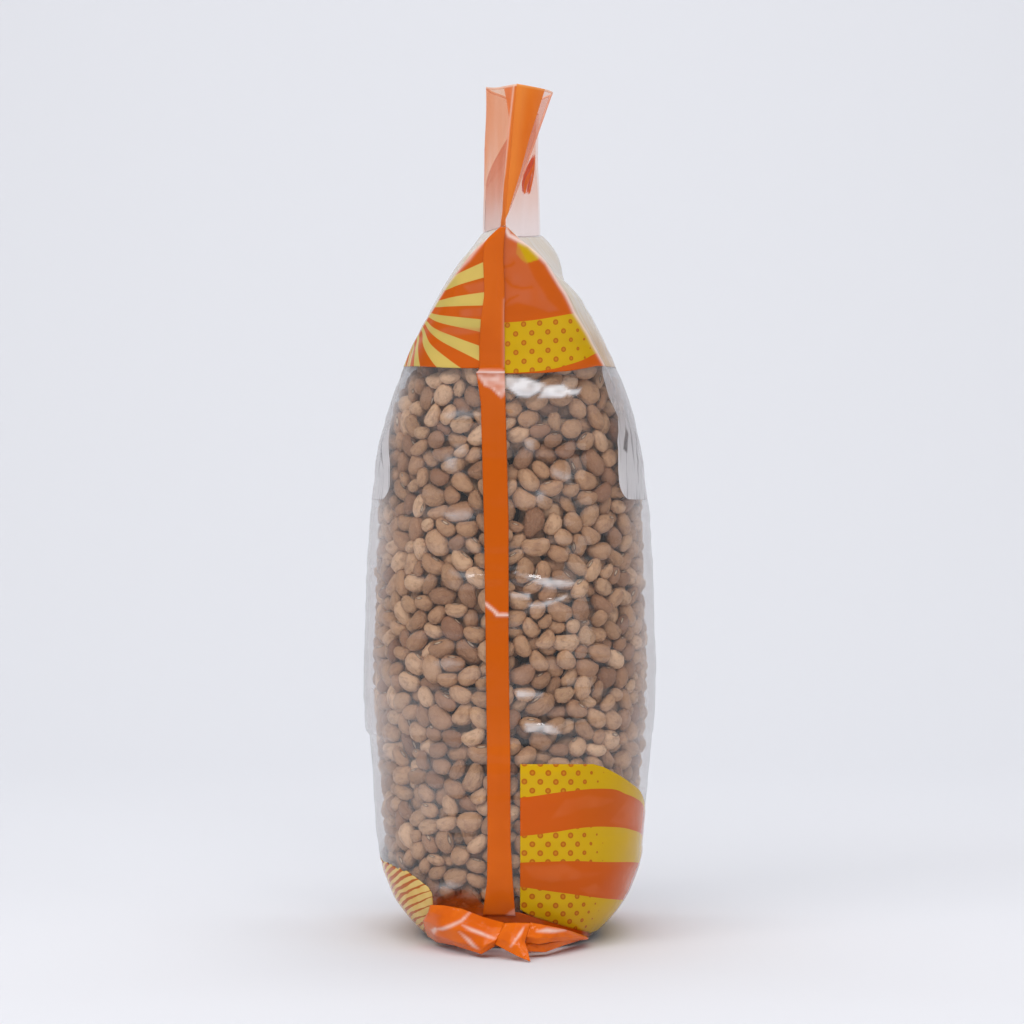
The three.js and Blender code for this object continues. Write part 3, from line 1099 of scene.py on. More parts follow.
@dataclass(frozen=True)
class LabelFilm:
    """Blank white film of a label, denser at its lower end, with painted grey shade of upright
    folds.
    """

    name: str = "label_white"
    # Painted grey shade in the upright folds.
    fold: tuple = srgb(172, 168, 170)
    # Painted dark shade in the slits between the folds.
    slit: tuple = srgb(96, 90, 90)
    slits: tuple = (
        Path(((52.5, 189.2), (54.5, 186.5), (51.8, 179.5), (48.8, 180.8))),
        Path(((67.2, 189.5), (63.6, 178.2), (61.2, 168.2), (62.2, 178.2))),
        Path(((-72, 186), (-66, 178.2), (-60.8, 173.8), (-65.2, 179.6))),
    )

    def marks(self, u: Array, z: Array) -> dict:
        """Values of the vertices: painted dark shade in slits between the folds."""
        return {"slit": np.clip(cover(self.slits, u, z, 0.5), 0, 1)}

    def build(self) -> Material:
        """White with painted grey shade of upright folds, more see-through towards the top.

        Returns:
            The material: the painted fold shade is strongest where the label is seen at a grazing
                angle.
        """
        shader = Shader(self.name)
        u, v = shader.place()
        streak = shader.noise(shader.vector(u * 0.5, v * 0.03), 1.0, 3.0, 0.6)
        # Painted grey shade in the upright folds, strongest at grazing view.
        folds = streak.step(0.5, 0.66) * (shader.facing().step(0.3, 0.7) * 0.75 + 0.25)
        colour = shader.mix(folds, INKS.white, self.fold)
        # Painted dark shade in the slits.
        colour = shader.mix(shader.mark("slit") * 0.8, colour, self.slit)
        alpha = v.step(200.0, 168.0) * 0.36 + 0.3 + streak.step(0.4, 0.7) * 0.1
        return GlossyInk(0.2, gloss=0.5).build(shader, colour, alpha)


@dataclass(frozen=True)
class FootInk:
    """Orange film drawn over the bag's foot: dark with painted shade and see-through above,
    brighter below.
    """

    name: str = "foot_print"

    def build(self) -> Material:
        """Blend by height over the foot's own reach."""
        shader = Shader(self.name)
        _, v = shader.place()
        cloud = shader.noise(shader.spot(), 90.0, 3.0).step(0.35, 0.7)
        # Painted shade: darker orange towards the top.
        rise = (v + cloud * 2.0).step(24.0, 13.5)
        colour = shader.mix(rise, INKS.shaded_orange, INKS.orange)
        return GlossyInk(0.12, gloss=0.5).build(shader, colour, rise * 0.84 + 0.06)


@dataclass(frozen=True)
class TailFilm:
    """See-through film of the tail: streaked up and down, whitish at the neck, peach above."""

    name: str
    neck: tuple = (0.998, 0.965, 0.955, 1.0)
    low: tuple = (0.996, 0.912, 0.875, 1.0)
    high: tuple = (0.985, 0.785, 0.66, 1.0)
    milk_neck: float = 0.01
    milk_high: float = 0.025
    milk_fine: float = 0.02
    through: float = 0.3
    square_gloss: float = 0.01
    grazing_gloss: float = 0.02
    roughness: float = 0.12
    slit: tuple = srgb(246, 128, 56)
    # Colour of the painted highlights on the crease, the turn and the top rim.
    rim: tuple = srgb(255, 222, 200)

    def build(self) -> Material:
        """Blend by height and by upright streaks, with inked and dark marks and painted
        highlights.
        """
        shader = Shader(self.name)
        t, v = shader.place()
        streak = shader.noise(shader.vector(t * 0.08, v * 0.02), 1.0, 3.0, 0.6).step(0.35, 0.65)
        rise = v.step(262.0, 300.0) * 0.75 + streak * 0.4 * v.step(256.0, 280.0)
        rise = rise.math("MINIMUM", 1.0)
        tint = shader.mix(v.step(258.0, 280.0), self.neck, self.low)
        tint = shader.mix(rise * (t.step(70.0, 110.0) * -0.6 + 1.0), tint, self.high)
        fine = shader.noise(shader.vector(t * 0.9, v * 0.03), 1.0, 3.0, 0.6).step(0.45, 0.7)
        ink, rim, slit = (shader.mark(name) for name in ("ink", "line", "slit"))
        colour = shader.mix(v.step(262.0, 296.0), INKS.neck, INKS.peach)
        colour = shader.mix(ink, colour, INKS.light_orange)
        colour = shader.mix(slit, colour, self.slit)
        # Painted highlights on the crease, the turn and the top rim.
        colour = shader.mix(rim, colour, self.rim)
        marks = (ink * 0.9).math("MAXIMUM", rim * 0.8).math("MAXIMUM", slit * 0.85)
        alpha = rise * (self.milk_high - self.milk_neck) + self.milk_neck + fine * self.milk_fine
        alpha = alpha.math("MAXIMUM", marks)
        face = shader.socket("ShaderNodeBsdfDiffuse", Color=colour)
        behind = shader.socket("ShaderNodeBsdfTranslucent", Color=colour)
        clear = shader.socket("ShaderNodeBsdfTransparent", Color=tint)
        film = shader.blend(alpha, clear, shader.blend(self.through, face, behind))
        mirror = shader.facing().math("POWER", 5.0) * self.grazing_gloss + self.square_gloss
        gloss = shader.socket("ShaderNodeBsdfGlossy", Roughness=self.roughness)
        return shader.surface(shader.blend(mirror, film, gloss))


@dataclass(frozen=True)
class BeanSkin:
    """Dry bean skin: tan to brown by the bean, mottled, with a small pale seed scar."""

    name: str
    pale: tuple = srgb(232, 190, 150)
    tan: tuple = srgb(190, 144, 105)
    brown: tuple = srgb(148, 101, 71)
    scar: tuple = srgb(214, 190, 160)
    scar_rim: tuple = srgb(84, 58, 48)
    wrinkle: float = 0.12
    roughness: float = 0.42
    gloss: float = 0.4

    def build(self) -> Material:
        """Colour by the bean's tone and its own mottling, scar by the bean's own coordinates."""
        shader = Shader(self.name)
        tone = shader.mark("tone")
        local = shader.attribute("local").outputs["Vector"]
        seed = shader.attribute("seed").outputs["Vector"]
        offset = shader.node("ShaderNodeVectorMath")
        offset.operation = "ADD"
        shader.feed(offset.inputs[0], local)
        shader.feed(offset.inputs[1], seed)
        own = offset.outputs[0]
        mottle = shader.noise(own, 1.6, 4.0, 0.6)
        fleck = shader.noise(own, 5.0, 3.0, 0.6)
        pale = shader.mix(tone.step(0.0, 0.55), self.pale, self.tan)
        base = shader.mix(tone.step(0.5, 1.0), pale, self.brown)
        base = shader.mix(mottle.step(0.45, 0.72) * 0.6, base, self.brown)
        base = shader.mix(fleck.step(0.55, 0.8) * 0.3, base, self.pale)
        parts = shader.node("ShaderNodeSeparateXYZ", Vector=local)
        x, y, z = (Sum(shader.tree, parts.outputs[name]) for name in "XYZ")
        reach = ((x * x) * 7.0 + (z * z) * 26.0).math("SQRT")
        front = y.above(0.6)
        rim = reach.step(1.25, 0.8) * front
        heart = reach.step(0.7, 0.45) * front
        base = shader.mix(rim * 0.75, base, self.scar_rim)
        base = shader.mix(heart * 0.9, base, self.scar)
        relief = shader.noise(own, 3.2, 4.0, 0.65)
        normal = shader.bump(relief, self.wrinkle * 10, 0.5)
        coat = shader.socket("ShaderNodeBsdfPrincipled", Base_Color=base, Normal=normal,
                             Roughness=self.roughness, Specular_IOR_Level=self.gloss)
        return shader.surface(coat)


@dataclass(frozen=True)
class BeanDepth:
    """What shows between the beans: dark brown painted shade with the lumps of deeper beans."""

    name: str = "bean_depth"
    # Painted shade colours of the deeper beans.
    light: tuple = srgb(74, 54, 48)
    dark: tuple = srgb(30, 21, 21)
    roughness: float = 0.6

    def build(self) -> Material:
        """Dark brown cells in mottled tones, painted as the shade of the deeper beans."""
        shader = Shader(self.name)
        cells = shader.node("ShaderNodeTexVoronoi", Vector=shader.spot(), Scale=120.0)
        lump = Sum(shader.tree, cells.outputs["Distance"])
        colour = shader.mix(lump.step(0.2, 0.6), self.light, self.dark)
        normal = shader.bump(lump * -1.0 + 1.0, 20.0, 0.6)
        coat = shader.socket("ShaderNodeBsdfPrincipled", Base_Color=colour, Normal=normal,
                             Roughness=self.roughness)
        return shader.surface(coat)


@dataclass(frozen=True)
class Crease:
    """A ridge in the film: middle, half length, half width and height in millimetres."""

    u: float
    z: float
    length: float
    width: float
    height: float
    slant: float = 0.0

    def relief(self, u: Array, z: Array) -> Array:
        """Height of the ridge: a bell across it and a flat-topped bell along it."""
        turn = math.radians(self.slant)
        along = (u - self.u) * math.cos(turn) + (z - self.z) * math.sin(turn)
        across = (z - self.z) * math.cos(turn) - (u - self.u) * math.sin(turn)
        return self.height * np.exp(-(along / self.length) ** 4 - (across / self.width) ** 2)


@dataclass
class Film:
    """The clear film: the bag's whole form with soft waves, wrinkles and creases."""

    form: BagForm
    rows: int = 330
    columns: int = 288
    crowding: float = 0.3
    swell: float = 0.35
    wave_size: tuple = (21, 13)
    ripple: float = 0.2
    ripple_size: tuple = (17, 3.4)
    ridge: float = 0.9
    ridge_width: float = 1.7
    tuck: float = 1.8
    step_height: float = 75.0
    step_reach: float = 45.0
    step_left: float = 1.4
    step_right: float = 0.5
    lowest: float = 0.02
    bottom_rings: tuple = (0.66, 0.33)
    side_haze: float = 0.08
    side_clouds: float = 0.05
    upper_haze: float = 0.07
    # Strengths of the painted white highlights: patches, small spots and streaks.
    most_glint: float = 0.9
    spark: float = 0.26
    wrinkle: float = 0.52
    most_haze: float = 0.95
    creases: tuple = (
        Crease(12, 201.5, 15, 4.2, 2.2, -6),
        Crease(21, 199, 8, 1.8, 0.7, -14),
        Crease(14, 133, 12, 1.7, 0.8, -8),
        Crease(14, 125.8, 8, 1.4, 0.55, 12),
        Crease(-12, 134, 9, 1.8, 0.7, 2),
        Crease(11.5, 80.6, 7.5, 1.9, 0.85, -8),
        Crease(-23, 103, 7, 1.7, 0.7, -8),
        Crease(-22, 22.5, 6, 1.8, 0.8, 14),
        Crease(-19, 190, 7, 1.8, 0.75, -5),
        Crease(28, 160, 6, 1.5, 0.5, 12),
        Crease(-30, 160, 8, 1.5, 0.5, 8),
        Crease(33, 110, 9, 1.8, 0.5, -6),
        Crease(-31, 60, 9, 1.8, 0.5, 6),
    )
    # Patches of painted white highlight under the print's lower edge.
    glints: tuple = (
        Path(((-1.8, 206.2), (5.2, 205.8), (12, 203.8), (10, 201), (6.5, 199), (3, 199.5),
              (-1, 202.8))),
        Path(((12, 203), (19, 203.5), (20.8, 201.5), (18.2, 199.2), (10, 198.8))),
        Path(((20, 201.6), (25.5, 202.2), (24, 200.2), (20.5, 200))),
    )
    # Small painted white highlights on the film over the beans.
    sparks: tuple = (
        Path(((-24.2, 193), (-17, 194.4), (-11.5, 192.8), (-15.2, 191.4), (-22.4, 191.4))),
        Path(((-20.2, 182.2), (-16.4, 182.2), (-16, 179.4), (-19.4, 178.8))),
        Path(((-23.8, 178.2), (-19.4, 177.4), (-19.6, 173), (-23.8, 173.8))),
        Path(((5, 184.2), (8.6, 183.4), (8.2, 179.8), (5.6, 180.4))),
        Path(((9.6, 165.6), (12.4, 164.8), (11.4, 161.8), (9.4, 162.2))),
        Path(((15, 173.8), (22, 171.2), (21.6, 168.6), (15.2, 171.2))),
        Path(((-24.8, 157.4), (-15.5, 158.4), (-12.8, 155.8), (-21.4, 155))),
        Path(((-22, 137), (-12.8, 135.8), (-13.2, 133.8), (-21.2, 135.5))),
        Path(((-28, 104), (-22, 105.4), (-17.6, 103.6), (-24, 102.6))),
        Path(((-27.6, 23.2), (-22, 25.8), (-17.6, 24.6), (-23, 22.6))),
    )
    # Painted white highlight streaks along the film's wrinkles.
    wrinkles: tuple = (
        Path(((1.8, 136.5), (8.5, 134.8), (24.2, 133), (22, 131.5), (15.5, 130.5), (9, 132.8))),
        Path(((6.5, 125.2), (12, 125.8), (20.5, 128.2), (19, 126.8), (12, 124), (7.2, 124))),
        Path(((-0.2, 129), (7.2, 129), (7.2, 126.8), (1, 127.5))),
        Path(((2.2, 94.2), (11.8, 93.5), (11.2, 92), (2.5, 92))),
        Path(((5.2, 82.8), (15.5, 82), (18.5, 78.5), (14.2, 79), (5.8, 79.8))),
    )

    def relief(self, u: Array, z: Array) -> Array:
        """Distance of the film from the plain form.

        Args:
            u: arc length from the near middle.
            z: height.

        Returns:
            Broad waves, flat ripples, a step on the broad sides, the shoulders' ridges and the
            named creases.
        """
        waves = Noise(3).over(u, z, self.wave_size) * self.swell
        fine = Noise(4).over(u, z, self.ripple_size) * self.ripple
        calm = smooth(4, 24, z) * (1 - smooth(225, 250, z))
        broad = smooth(36, 60, np.abs(u)) * (1 - smooth(130, 155, np.abs(u)))
        rise = np.where(u < 0, self.step_left, self.step_right)
        fading = np.exp(-((z - self.step_height) / self.step_reach) ** 2)
        step = (smooth(74, 76.5, z) - 0.5) * rise * fading * broad
        named = sum(crease.relief(u, z) for crease in self.creases)
        width = self.ridge_width
        ridges = RIDGE_RIGHT.bell(u, z, width) + 0.7 * RIDGE_LEFT.bell(u, z, width)
        ridges = ridges * self.ridge * (1 - smooth(246, 254, z))
        tuck = self.tuck * (1 - smooth(3, 18, z)) * smooth(15, 40, np.abs(u))
        return (waves + fine) * calm + step + named + ridges - tuck

    def milk_and_highlights(self, u: Array, z: Array) -> Array:
        """Share of the film that is milky or painted white as a highlight.

        Args:
            u: arc length from the near middle.
            z: height.

        Returns:
            More on the broad sides above their step and towards the far side, faint clouds
            elsewhere, and painted white highlights in patches under the print and in small spots
            and streaks over the beans.
        """
        away = np.abs(u)
        cloud = 0.5 + 0.5 * Noise(5).over(u, z, (26, 30))
        sides = smooth(44, 66, away) * (self.side_haze + self.side_clouds * cloud)
        upper = smooth(73, 76, z) * (1 - smooth(150, 200, z)) * smooth(50, 70, away)
        low = 1 - smooth(60, 120, z)
        near = np.where(u < 0, 0.05 + 0.13 * low, 0.01 + 0.05 * low) * cloud * smooth(8, 45, away)
        # Painted white highlights.
        glint = cover(self.glints, u, z, 0.75)
        glint = glint * (0.75 + 0.3 * Noise(6).over(u, z, (2.4, 1.8)))
        spark = cover(self.sparks, u, z, 1.1)
        wrinkle = cover(self.wrinkles, u, z, 0.6)
        spark = self.spark * spark + self.wrinkle * wrinkle
        spark = spark * (0.8 + 0.4 * Noise(7).over(u, z, (2.2, 1.6)))
        glint = np.clip(glint, 0, self.most_glint)
        whole = sides + upper * self.upper_haze + near + spark + glint
        return np.clip(whole, 0, self.most_haze)

    def build(self) -> Object:
        """A closed shell: levels up to the seal, with the ends drawn together."""
        z = np.linspace(0.0, self.form.seal_bottom, self.rows)[:, None]
        even = np.linspace(-1.0, 1.0, self.columns + 1)[None, :-1]
        u = crowded(even, self.crowding) * self.form.half_girth(z)
        z = np.broadcast_to(z, u.shape)
        points = self.form.wrap(u, z, self.relief(u, z))
        points[..., 2] = np.maximum(points[..., 2], self.lowest)
        middle = points[0].mean(axis=0)
        inner = middle + (points[0] - middle) * np.array(self.bottom_rings)[:, None, None]
        grid = np.concatenate([[np.tile(middle, (self.columns, 1))], inner[::-1], points])
        grid[0] = middle
        flat = np.zeros((len(grid) - self.rows, self.columns, 2))
        uv = np.concatenate([flat, np.stack([u, z], axis=-1)])
        vertices = np.concatenate([[middle], grid[1:].reshape(-1, 3)])
        places = np.concatenate([[[0.0, 0.0]], uv[1:].reshape(-1, 2)])
        rows = len(grid) - 1
        quads, index, following = Mesher.rings(rows, self.columns, 1)
        fan = np.stack([np.zeros(self.columns, int), following[0], index[0]], axis=1)
        top = index[-1]
        half = self.columns // 2
        right, left = top[half:], top[:half + 1][::-1]
        count = min(len(right), len(left)) - 1
        ends = [right[:count], right[1:count + 1], left[1:count + 1], left[:count]]
        zipper = np.stack(ends, axis=1)
        marks = {"milk_and_highlights": self.milk_and_highlights(*places.T)}
        material = ClearFilm().build()
        return Mesher.make("film", vertices, [fan, quads, zipper], material, places, marks)


@dataclass
class PrintedSheets:
    """Printed fields that lie on the clear film."""

    form: BagForm
    film: Film
    proud: float = 0.15
    thickness: float = 0.08
    collar_size: tuple = (96, 500)
    collar_crowding: float = 0.4
    collar_top: float = 257.4
    collar_low: Path = open_path(
        (-60, 210.6), (-38.5, 210.2), (-18, 209.2), (-6, 209), (-5.9, 207.2), (12.8, 207.5),
        (21.5, 208.2), (33.8, 210.2), (60, 210.6))
    band_top: Path = open_path(
        (3, 68.2), (18, 68), (31.5, 67.5), (36.2, 66.2), (47, 61.8), (54.8, 58.8), (64.2, 55.5),
        (85, 46), (110, 40), (150, 38))
    band_bottom: Path = open_path(
        (2.5, 16.2), (7.2, 13.2), (18.2, 9.2), (36.5, 2.2), (60, 1.2), (150, 1.2))
    stroke_top: Path = open_path(
        (-150, 30), (-110, 30), (-79.8, 28.6), (-58.8, 28.8), (-43.5, 27.5), (-37.8, 25.8),
        (-31.2, 22.5), (-29.6, 20.5))
    foot_top: Path = open_path(
        (-36, 20), (-30.5, 22.6), (-27, 23.5), (-15, 23.2), (-9, 16.5), (-5, 15.2), (3, 14.4),
        (12, 11.6), (24, 8), (38, 2.4))
    foot_level: float = 0.8
    label_right: Path = open_path(
        (163, 45.6), (173.2, 45), (184, 45.2), (192.5, 46.8), (199, 41), (211, 36.5))
    label_left: Path = open_path(
        (163, 54.2), (175.2, 54.2), (185.8, 58.2), (198.5, 58.5), (211, 58))
    label_bottom: float = 162.6
    label_top: float = 210.4
    label_radius: float = 7.0
    label_far: float = 150.0
    label_size: tuple = (90, 170)

    def field(self, name: str, finish: object, span: tuple, edges: tuple, size: tuple,
              proud: float | None = None) -> Object:
        """One field between two arc lengths and two edges.

        Args:
            name: its name.
            finish: its finish, which also gives the values of the vertices where it has marks.
            span: first and last arc length.
            edges: lower and upper edge, each a function from arc length to height.
            size: points up the field and along it.
            proud: distance outside the film, where it isn't the usual one.

        Returns:
            The object.
        """
        rows, columns = size
        u = np.linspace(*span, columns)[None, :]
        v = np.linspace(0, 1, rows)[:, None]
        z = edges[0](u) * (1 - v) + edges[1](u) * v
        u = np.broadcast_to(u, z.shape)
        return self.sheet(name, finish, u, z, proud)

    def sheet(self, name: str, finish: object, u: Array, z: Array,
              proud: float | None = None) -> Object:
        """A thin closed sheet over a grid of arc lengths and heights.

        Args:
            name: its name.
            finish: its finish, which also gives the values of the vertices where it has marks.
            u: arc lengths.
            z: heights.
            proud: distance outside the film, where it isn't the usual one.

        Returns:
            The object.
        """
        points = self.form.wrap(u, z, self.film.relief(u, z) + (proud or self.proud))
        grid = (points, np.stack([u, z], axis=-1))
        vertices, faces, uv = Mesher.sheet([grid], self.thickness)
        marks = finish.marks(*uv.T) if hasattr(finish, "marks") else None
        return Mesher.make(name, vertices, faces, finish.build(), uv, marks)

    def collar(self) -> Object:
        """The printed shoulders, all the way round, denser near the fin."""
        rows, columns = self.collar_size
        share = crowded(np.linspace(-1, 1, columns)[None, :], self.collar_crowding)
        v = np.linspace(0, 1, rows)[:, None]
        low = self.collar_low.at(share * self.form.half_girth(209.0))
        z = low * (1 - v) + self.collar_top * v
        u = share * self.form.half_girth(z)
        return self.sheet("collar_print", CollarPrint(), u, z)

    def build(self) -> list[Object]:
        """The collar, the lower bands, the lower strokes, the foot and the blank labels."""

        def ragged(u: Array) -> Array:
            """Upper edge of the strokes with small teeth."""
            return self.stroke_top.at(u) + Noise(11).at(u / 1.6 + 120, u * 0 + 0.5) * 0.7

        def floor(u: Array) -> Array:
            """Level edge at the bag's foot."""
            return self.foot_level + 0 * u

        bands, foot = (self.band_bottom.at, self.band_top.at), (floor, self.foot_top.at)
        return [
            self.collar(),
            self.field("band_print", BandPrint(), (3.6, 150.0), bands, (90, 300)),
            self.field("ray_print", RayPrint(), (-150.0, -29.6), (floor, ragged), (50, 260)),
            self.field("foot_print", FootInk(), (-36.0, 38.0), foot, (40, 120), 0.05),
            self.label("label_right", self.label_right, 1),
            self.label("label_left", self.label_left, -1),
        ]

    def label(self, name: str, edge: Path, side: int) -> Object:
        """A blank label on one broad side, whose lower corners are round.

        Args:
            name: its name.
            edge: distance of its near edge from the near middle, by height.
            side: 1 for the right and -1 for the left broad side.

        Returns:
            The object: rows between a near edge that sways with height and a far edge.
        """
        rows, columns = self.label_size
        bottom, radius = self.label_bottom, self.label_radius
        v = np.linspace(0, 1, rows)[:, None] ** 1.5
        z = bottom + (self.label_top - bottom) * v
        lift = np.maximum(0, bottom + radius - z)
        rounded = radius - np.sqrt(np.maximum(0, radius ** 2 - lift ** 2))
        across = np.linspace(0, 1, columns)[None, :]
        u = (edge.at(z) + rounded) * (1 - across) + (self.label_far - rounded) * across
        z = np.broadcast_to(z, u.shape)
        if side < 0:
            u = -u[:, ::-1]
        return self.sheet(name, LabelFilm(), u, z, 0.08)


@dataclass
class FinSeal:
    """The long seal: a flat ribbon down the near side with a fold and a wrinkle."""

    form: BagForm
    film: Film
    proud: float = 0.5
    thickness: float = 0.3
    heights: tuple = (13.5, 25.8, 41.0, 70.0, 109.0, 155.0, 197.0, 207.8, 208.8, 216.8, 226.8,
                      234.0, 246.0, 252.0, 257.5)
    left: tuple = (-9.8, -8.2, -8.0, -8.2, -8.6, -9.3, -10.4, -12.0, -10.9, -10.8, -10.0,
                   -8.8, -8.3, -7.4, -2.6)
    right: tuple = (1.9, 1.0, 0.2, 0.1, -0.5, -0.5, -1.6, -1.9, -1.9, -1.8, -1.8,
                    -1.6, -0.8, -0.3, 0.2)
    size: tuple = (420, 13)
    curl: float = 0.35
    fold: float = 1.1
    fold_height: float = 208.2
    crumple: float = 0.15
    follow: float = 0.6
    pinches: tuple = (
        Crease(-3, 121.2, 4, 0.9, 0.6),
        Crease(-6.8, 123.8, 3, 0.7, 0.35, -40),
    )
    # Places of the fin's painted highlights: below the fold, on the fold and the pinch, the free
    # edge and the foot.
    painted_glare: Path = Path((
        (-11.6, 207.4), (-1.4, 207.4), (-1.6, 200.2), (-3, 198.6), (-6, 201.8), (-9, 203.2),
        (-11.2, 206.2)))
    fold_line: Path = open_path((-12, 208.2), (-1, 208))
    pinch_line: Path = open_path((-8.8, 125.4), (-5.2, 122.4), (-4.6, 121.3), (0.2, 121.3))
    pale_edge: Path = open_path((-2, 210), (-1.9, 222), (-1.6, 233))
    foot: Path = Path(((-3, 12), (3, 12), (3, 17), (0, 15)))

    def build(self) -> Object:
        """A grid between the two edges, proud of the film, with its free edge a little curled."""
        rows, columns = self.size
        z = np.linspace(self.heights[0], self.heights[-1], rows)[:, None]
        across = np.linspace(0, 1, columns)[None, :]
        left = np.interp(z, self.heights, self.left)
        right = np.interp(z, self.heights, self.right)
        u = left * (1 - across) + right * across
        z = np.broadcast_to(z, u.shape)
        curl = self.curl * smooth(0.6, 1, across) * (0.6 + 0.4 * np.sin(z / 9.0))
        fold = self.fold * np.exp(-(z - self.fold_height) ** 2)
        crumple = Noise(21).over(u, z, (5, 9), 30) * self.crumple
        pinch = sum(crease.relief(u, z) for crease in self.pinches)
        out = self.film.relief(u, z) * self.follow + self.proud + curl + fold + crumple + pinch
        points = self.form.wrap(u, z, out)
        uv = np.stack([u, z], axis=-1)
        vertices, faces, places = Mesher.sheet([(points, uv)], self.thickness)
        ink = PlainInk("fin_ink", srgb(216, 102, 22), srgb(202, 90, 14), roughness=0.16,
                       cloud=28.0).build()
        return Mesher.make("fin_seal", vertices, faces, ink, places, self.marks(*places.T))

    def marks(self, u: Array, z: Array) -> dict:
        """Values of the vertices.

        Args:
            u: arc lengths from the near middle.
            z: heights.

        Returns:
            Painted highlights: the bright patch below the fold, lines on the fold and the pinch,
            the free edge and the foot. Deep: deeper orange between foot and fold.
        """
        mottle = 0.7 + 0.45 * Noise(22).over(u, z, (1.5, 1.3), 30)
        # Painted highlights.
        painted_sheen = 0.8 * self.painted_glare.patch(u, z, 0.6) * mottle + 0.9 * self.fold_line.bell(u, z, 0.4)
        painted_sheen = painted_sheen + 0.75 * self.pinch_line.bell(u, z, 0.5)
        painted_sheen = painted_sheen + 0.22 * self.pale_edge.bell(u, z, 0.5) + 0.3 * self.foot.patch(u, z, 0.5)
        return {"painted_sheen": np.clip(painted_sheen, 0, 1),
                "deep": 0.9 * smooth(60, 90, z) * (1 - smooth(190, 208, z))}


@dataclass
class Tail:
    """The crimped seal and the loose tail above it: two films that part at the near end."""

    form: BagForm
    rows: int = 110
    columns: int = 240
    film: float = 0.35
    rib_pitch: float = 1.3
    rib: float = 0.02
    wave: float = 0.7
    thickness: float = 0.12
    edge_z: tuple = (258.0, 260.6, 267.1, 276.5, 289.0, 297.8, 307.4)
    edge_x: tuple = (-1.6, -1.3, 0.7, 3.5, 6.7, 9.4, 12.4)
    crease: Path = open_path((258, 6.5), (262.6, 5), (276.4, 2.4), (294.5, 2), (307.5, 1.5))
    tip: Path = open_path((295, 2), (302.2, 5.2), (307.5, 8.6))
    slits: tuple = (
        Path(((157.4, 290.3), (134.9, 281.3), (131.8, 278.1), (132.7, 274.5), (135.5, 274.8),
              (138.7, 278.2), (150.2, 284.8))),
        Path(((160.5, 290.4), (151.8, 287.4), (139.6, 274.6), (143.8, 274.9), (154.5, 284.3))),
    )
    left_slit: Path = Path(((50, 287), (54, 287), (52, 272), (50, 276)))

    def film_points(self, distance: Array, z: Array, side: int) -> Array:
        """Points of one film.

        Args:
            distance: distance in depth from the near end.
            z: heights at the near side.
            side: -1 for the left film and 1 for the right film.

        Returns:
            The seal line, moved to the side by the gape and by the crimp's upright ribs.
        """
        y = distance - self.form.half_length
        crimped = smooth(258, 260, z) * (1 - smooth(270, 272, z)) * smooth(12, 20, distance)
        ribs = self.rib * np.sin(distance * 2 * np.pi / self.rib_pitch) * crimped
        wave = Noise(31 + side).over(distance, z, (16, 22), 20) * self.wave
        wave = wave * smooth(272, 290, z) * smooth(30, 60, distance)
        apart = self.form.gape(distance, z, side) + self.film * smooth(0, 3, distance)
        x = self.form.middle_line(y, z) + side * apart + ribs + wave
        return np.stack([x, y, self.form.climbed(y, z, side)], axis=-1)

    def sheet(self, name: str, start: Array, end: Array, z: Array, side: int,
              material: Material) -> Object:
        """One sheet of a film between two distances that may change with height.

        Args:
            name: its name.
            start: distance of its near edge at each height.
            end: distance of its far edge at each height.
            z: heights.
            side: -1 for the left film and 1 for the right film.
            material: its finish.

        Returns:
            The object.
        """
        share = np.linspace(0, 1, self.columns)[None, :] ** 1.3
        distance = start * (1 - share) + end * share
        z = np.broadcast_to(z, distance.shape)
        grid = self.film_points(distance, z, side)
        uv = np.stack([distance, z], axis=-1)
        if side < 0:
            grid, uv = grid[:, ::-1], uv[:, ::-1]
        points, faces, places = Mesher.sheet([(grid, uv)], self.thickness)
        return Mesher.make(name, points, faces, material, places, self.marks(side, *places.T))

    def marks(self, side: int, t: Array, z: Array) -> dict:
        """Values of the vertices.

        Args:
            side: -1 for the left film and 1 for the right film.
            t: distances in depth from the near end.
            z: heights at the near side.

        Returns:
            Ink beside the crease, painted highlights on the crease, rim and turn, dark slits, and
            a painted highlight stripe with the top rim on the ink.
        """
        # Painted highlight along the top rim.
        rim = smooth(self.form.height - 1.0, self.form.height - 0.4, z)
        crease = self.crease.at(z)
        slit = cover(self.slits, t, z, 0.4)
        if side < 0:
            ink = 1 - smooth(-0.3, 0.3, t - crease)
            ink = ink + 0.75 * (1 - smooth(-0.3, 0.3, t - self.tip.at(z)))
            # Painted highlight along the crease.
            line = 0.8 * np.exp(-((t - crease) / 0.45) ** 2)
            slit = slit + self.left_slit.patch(t, z, 0.6)
            return {"ink": np.clip(ink, 0, 1), "line": np.clip(line + rim, 0, 1),
                    "slit": np.clip(slit, 0, 1), "painted_sheen": 0 * z}
        turn = self.form.gape_right.peak * self.form.opening(z)
        # Painted highlight where the right film turns back.
        line = np.exp(-((t - turn) / 1.4) ** 2) * smooth(262, 268, z)
        stripe = 0.35 * (1 - smooth(0.5, 5.5, t - 0.04 * (z - 262)))
        return {"ink": 0 * z, "line": np.clip(line + rim, 0, 1), "slit": np.clip(slit, 0, 1),
                "painted_sheen": np.clip(stripe + 0.9 * rim, 0, 1)}

    def build(self) -> list[Object]:
        """The left film, and the right film in an opaque near part and a see-through rest."""
        z = np.linspace(self.form.seal_bottom - 1.0, self.form.height, self.rows)[:, None]
        near = np.full_like(z, 0.05)
        far = np.full_like(z, 2 * self.form.half_length)
        border = self._border(z)
        peach = TailFilm("tail_left").build()
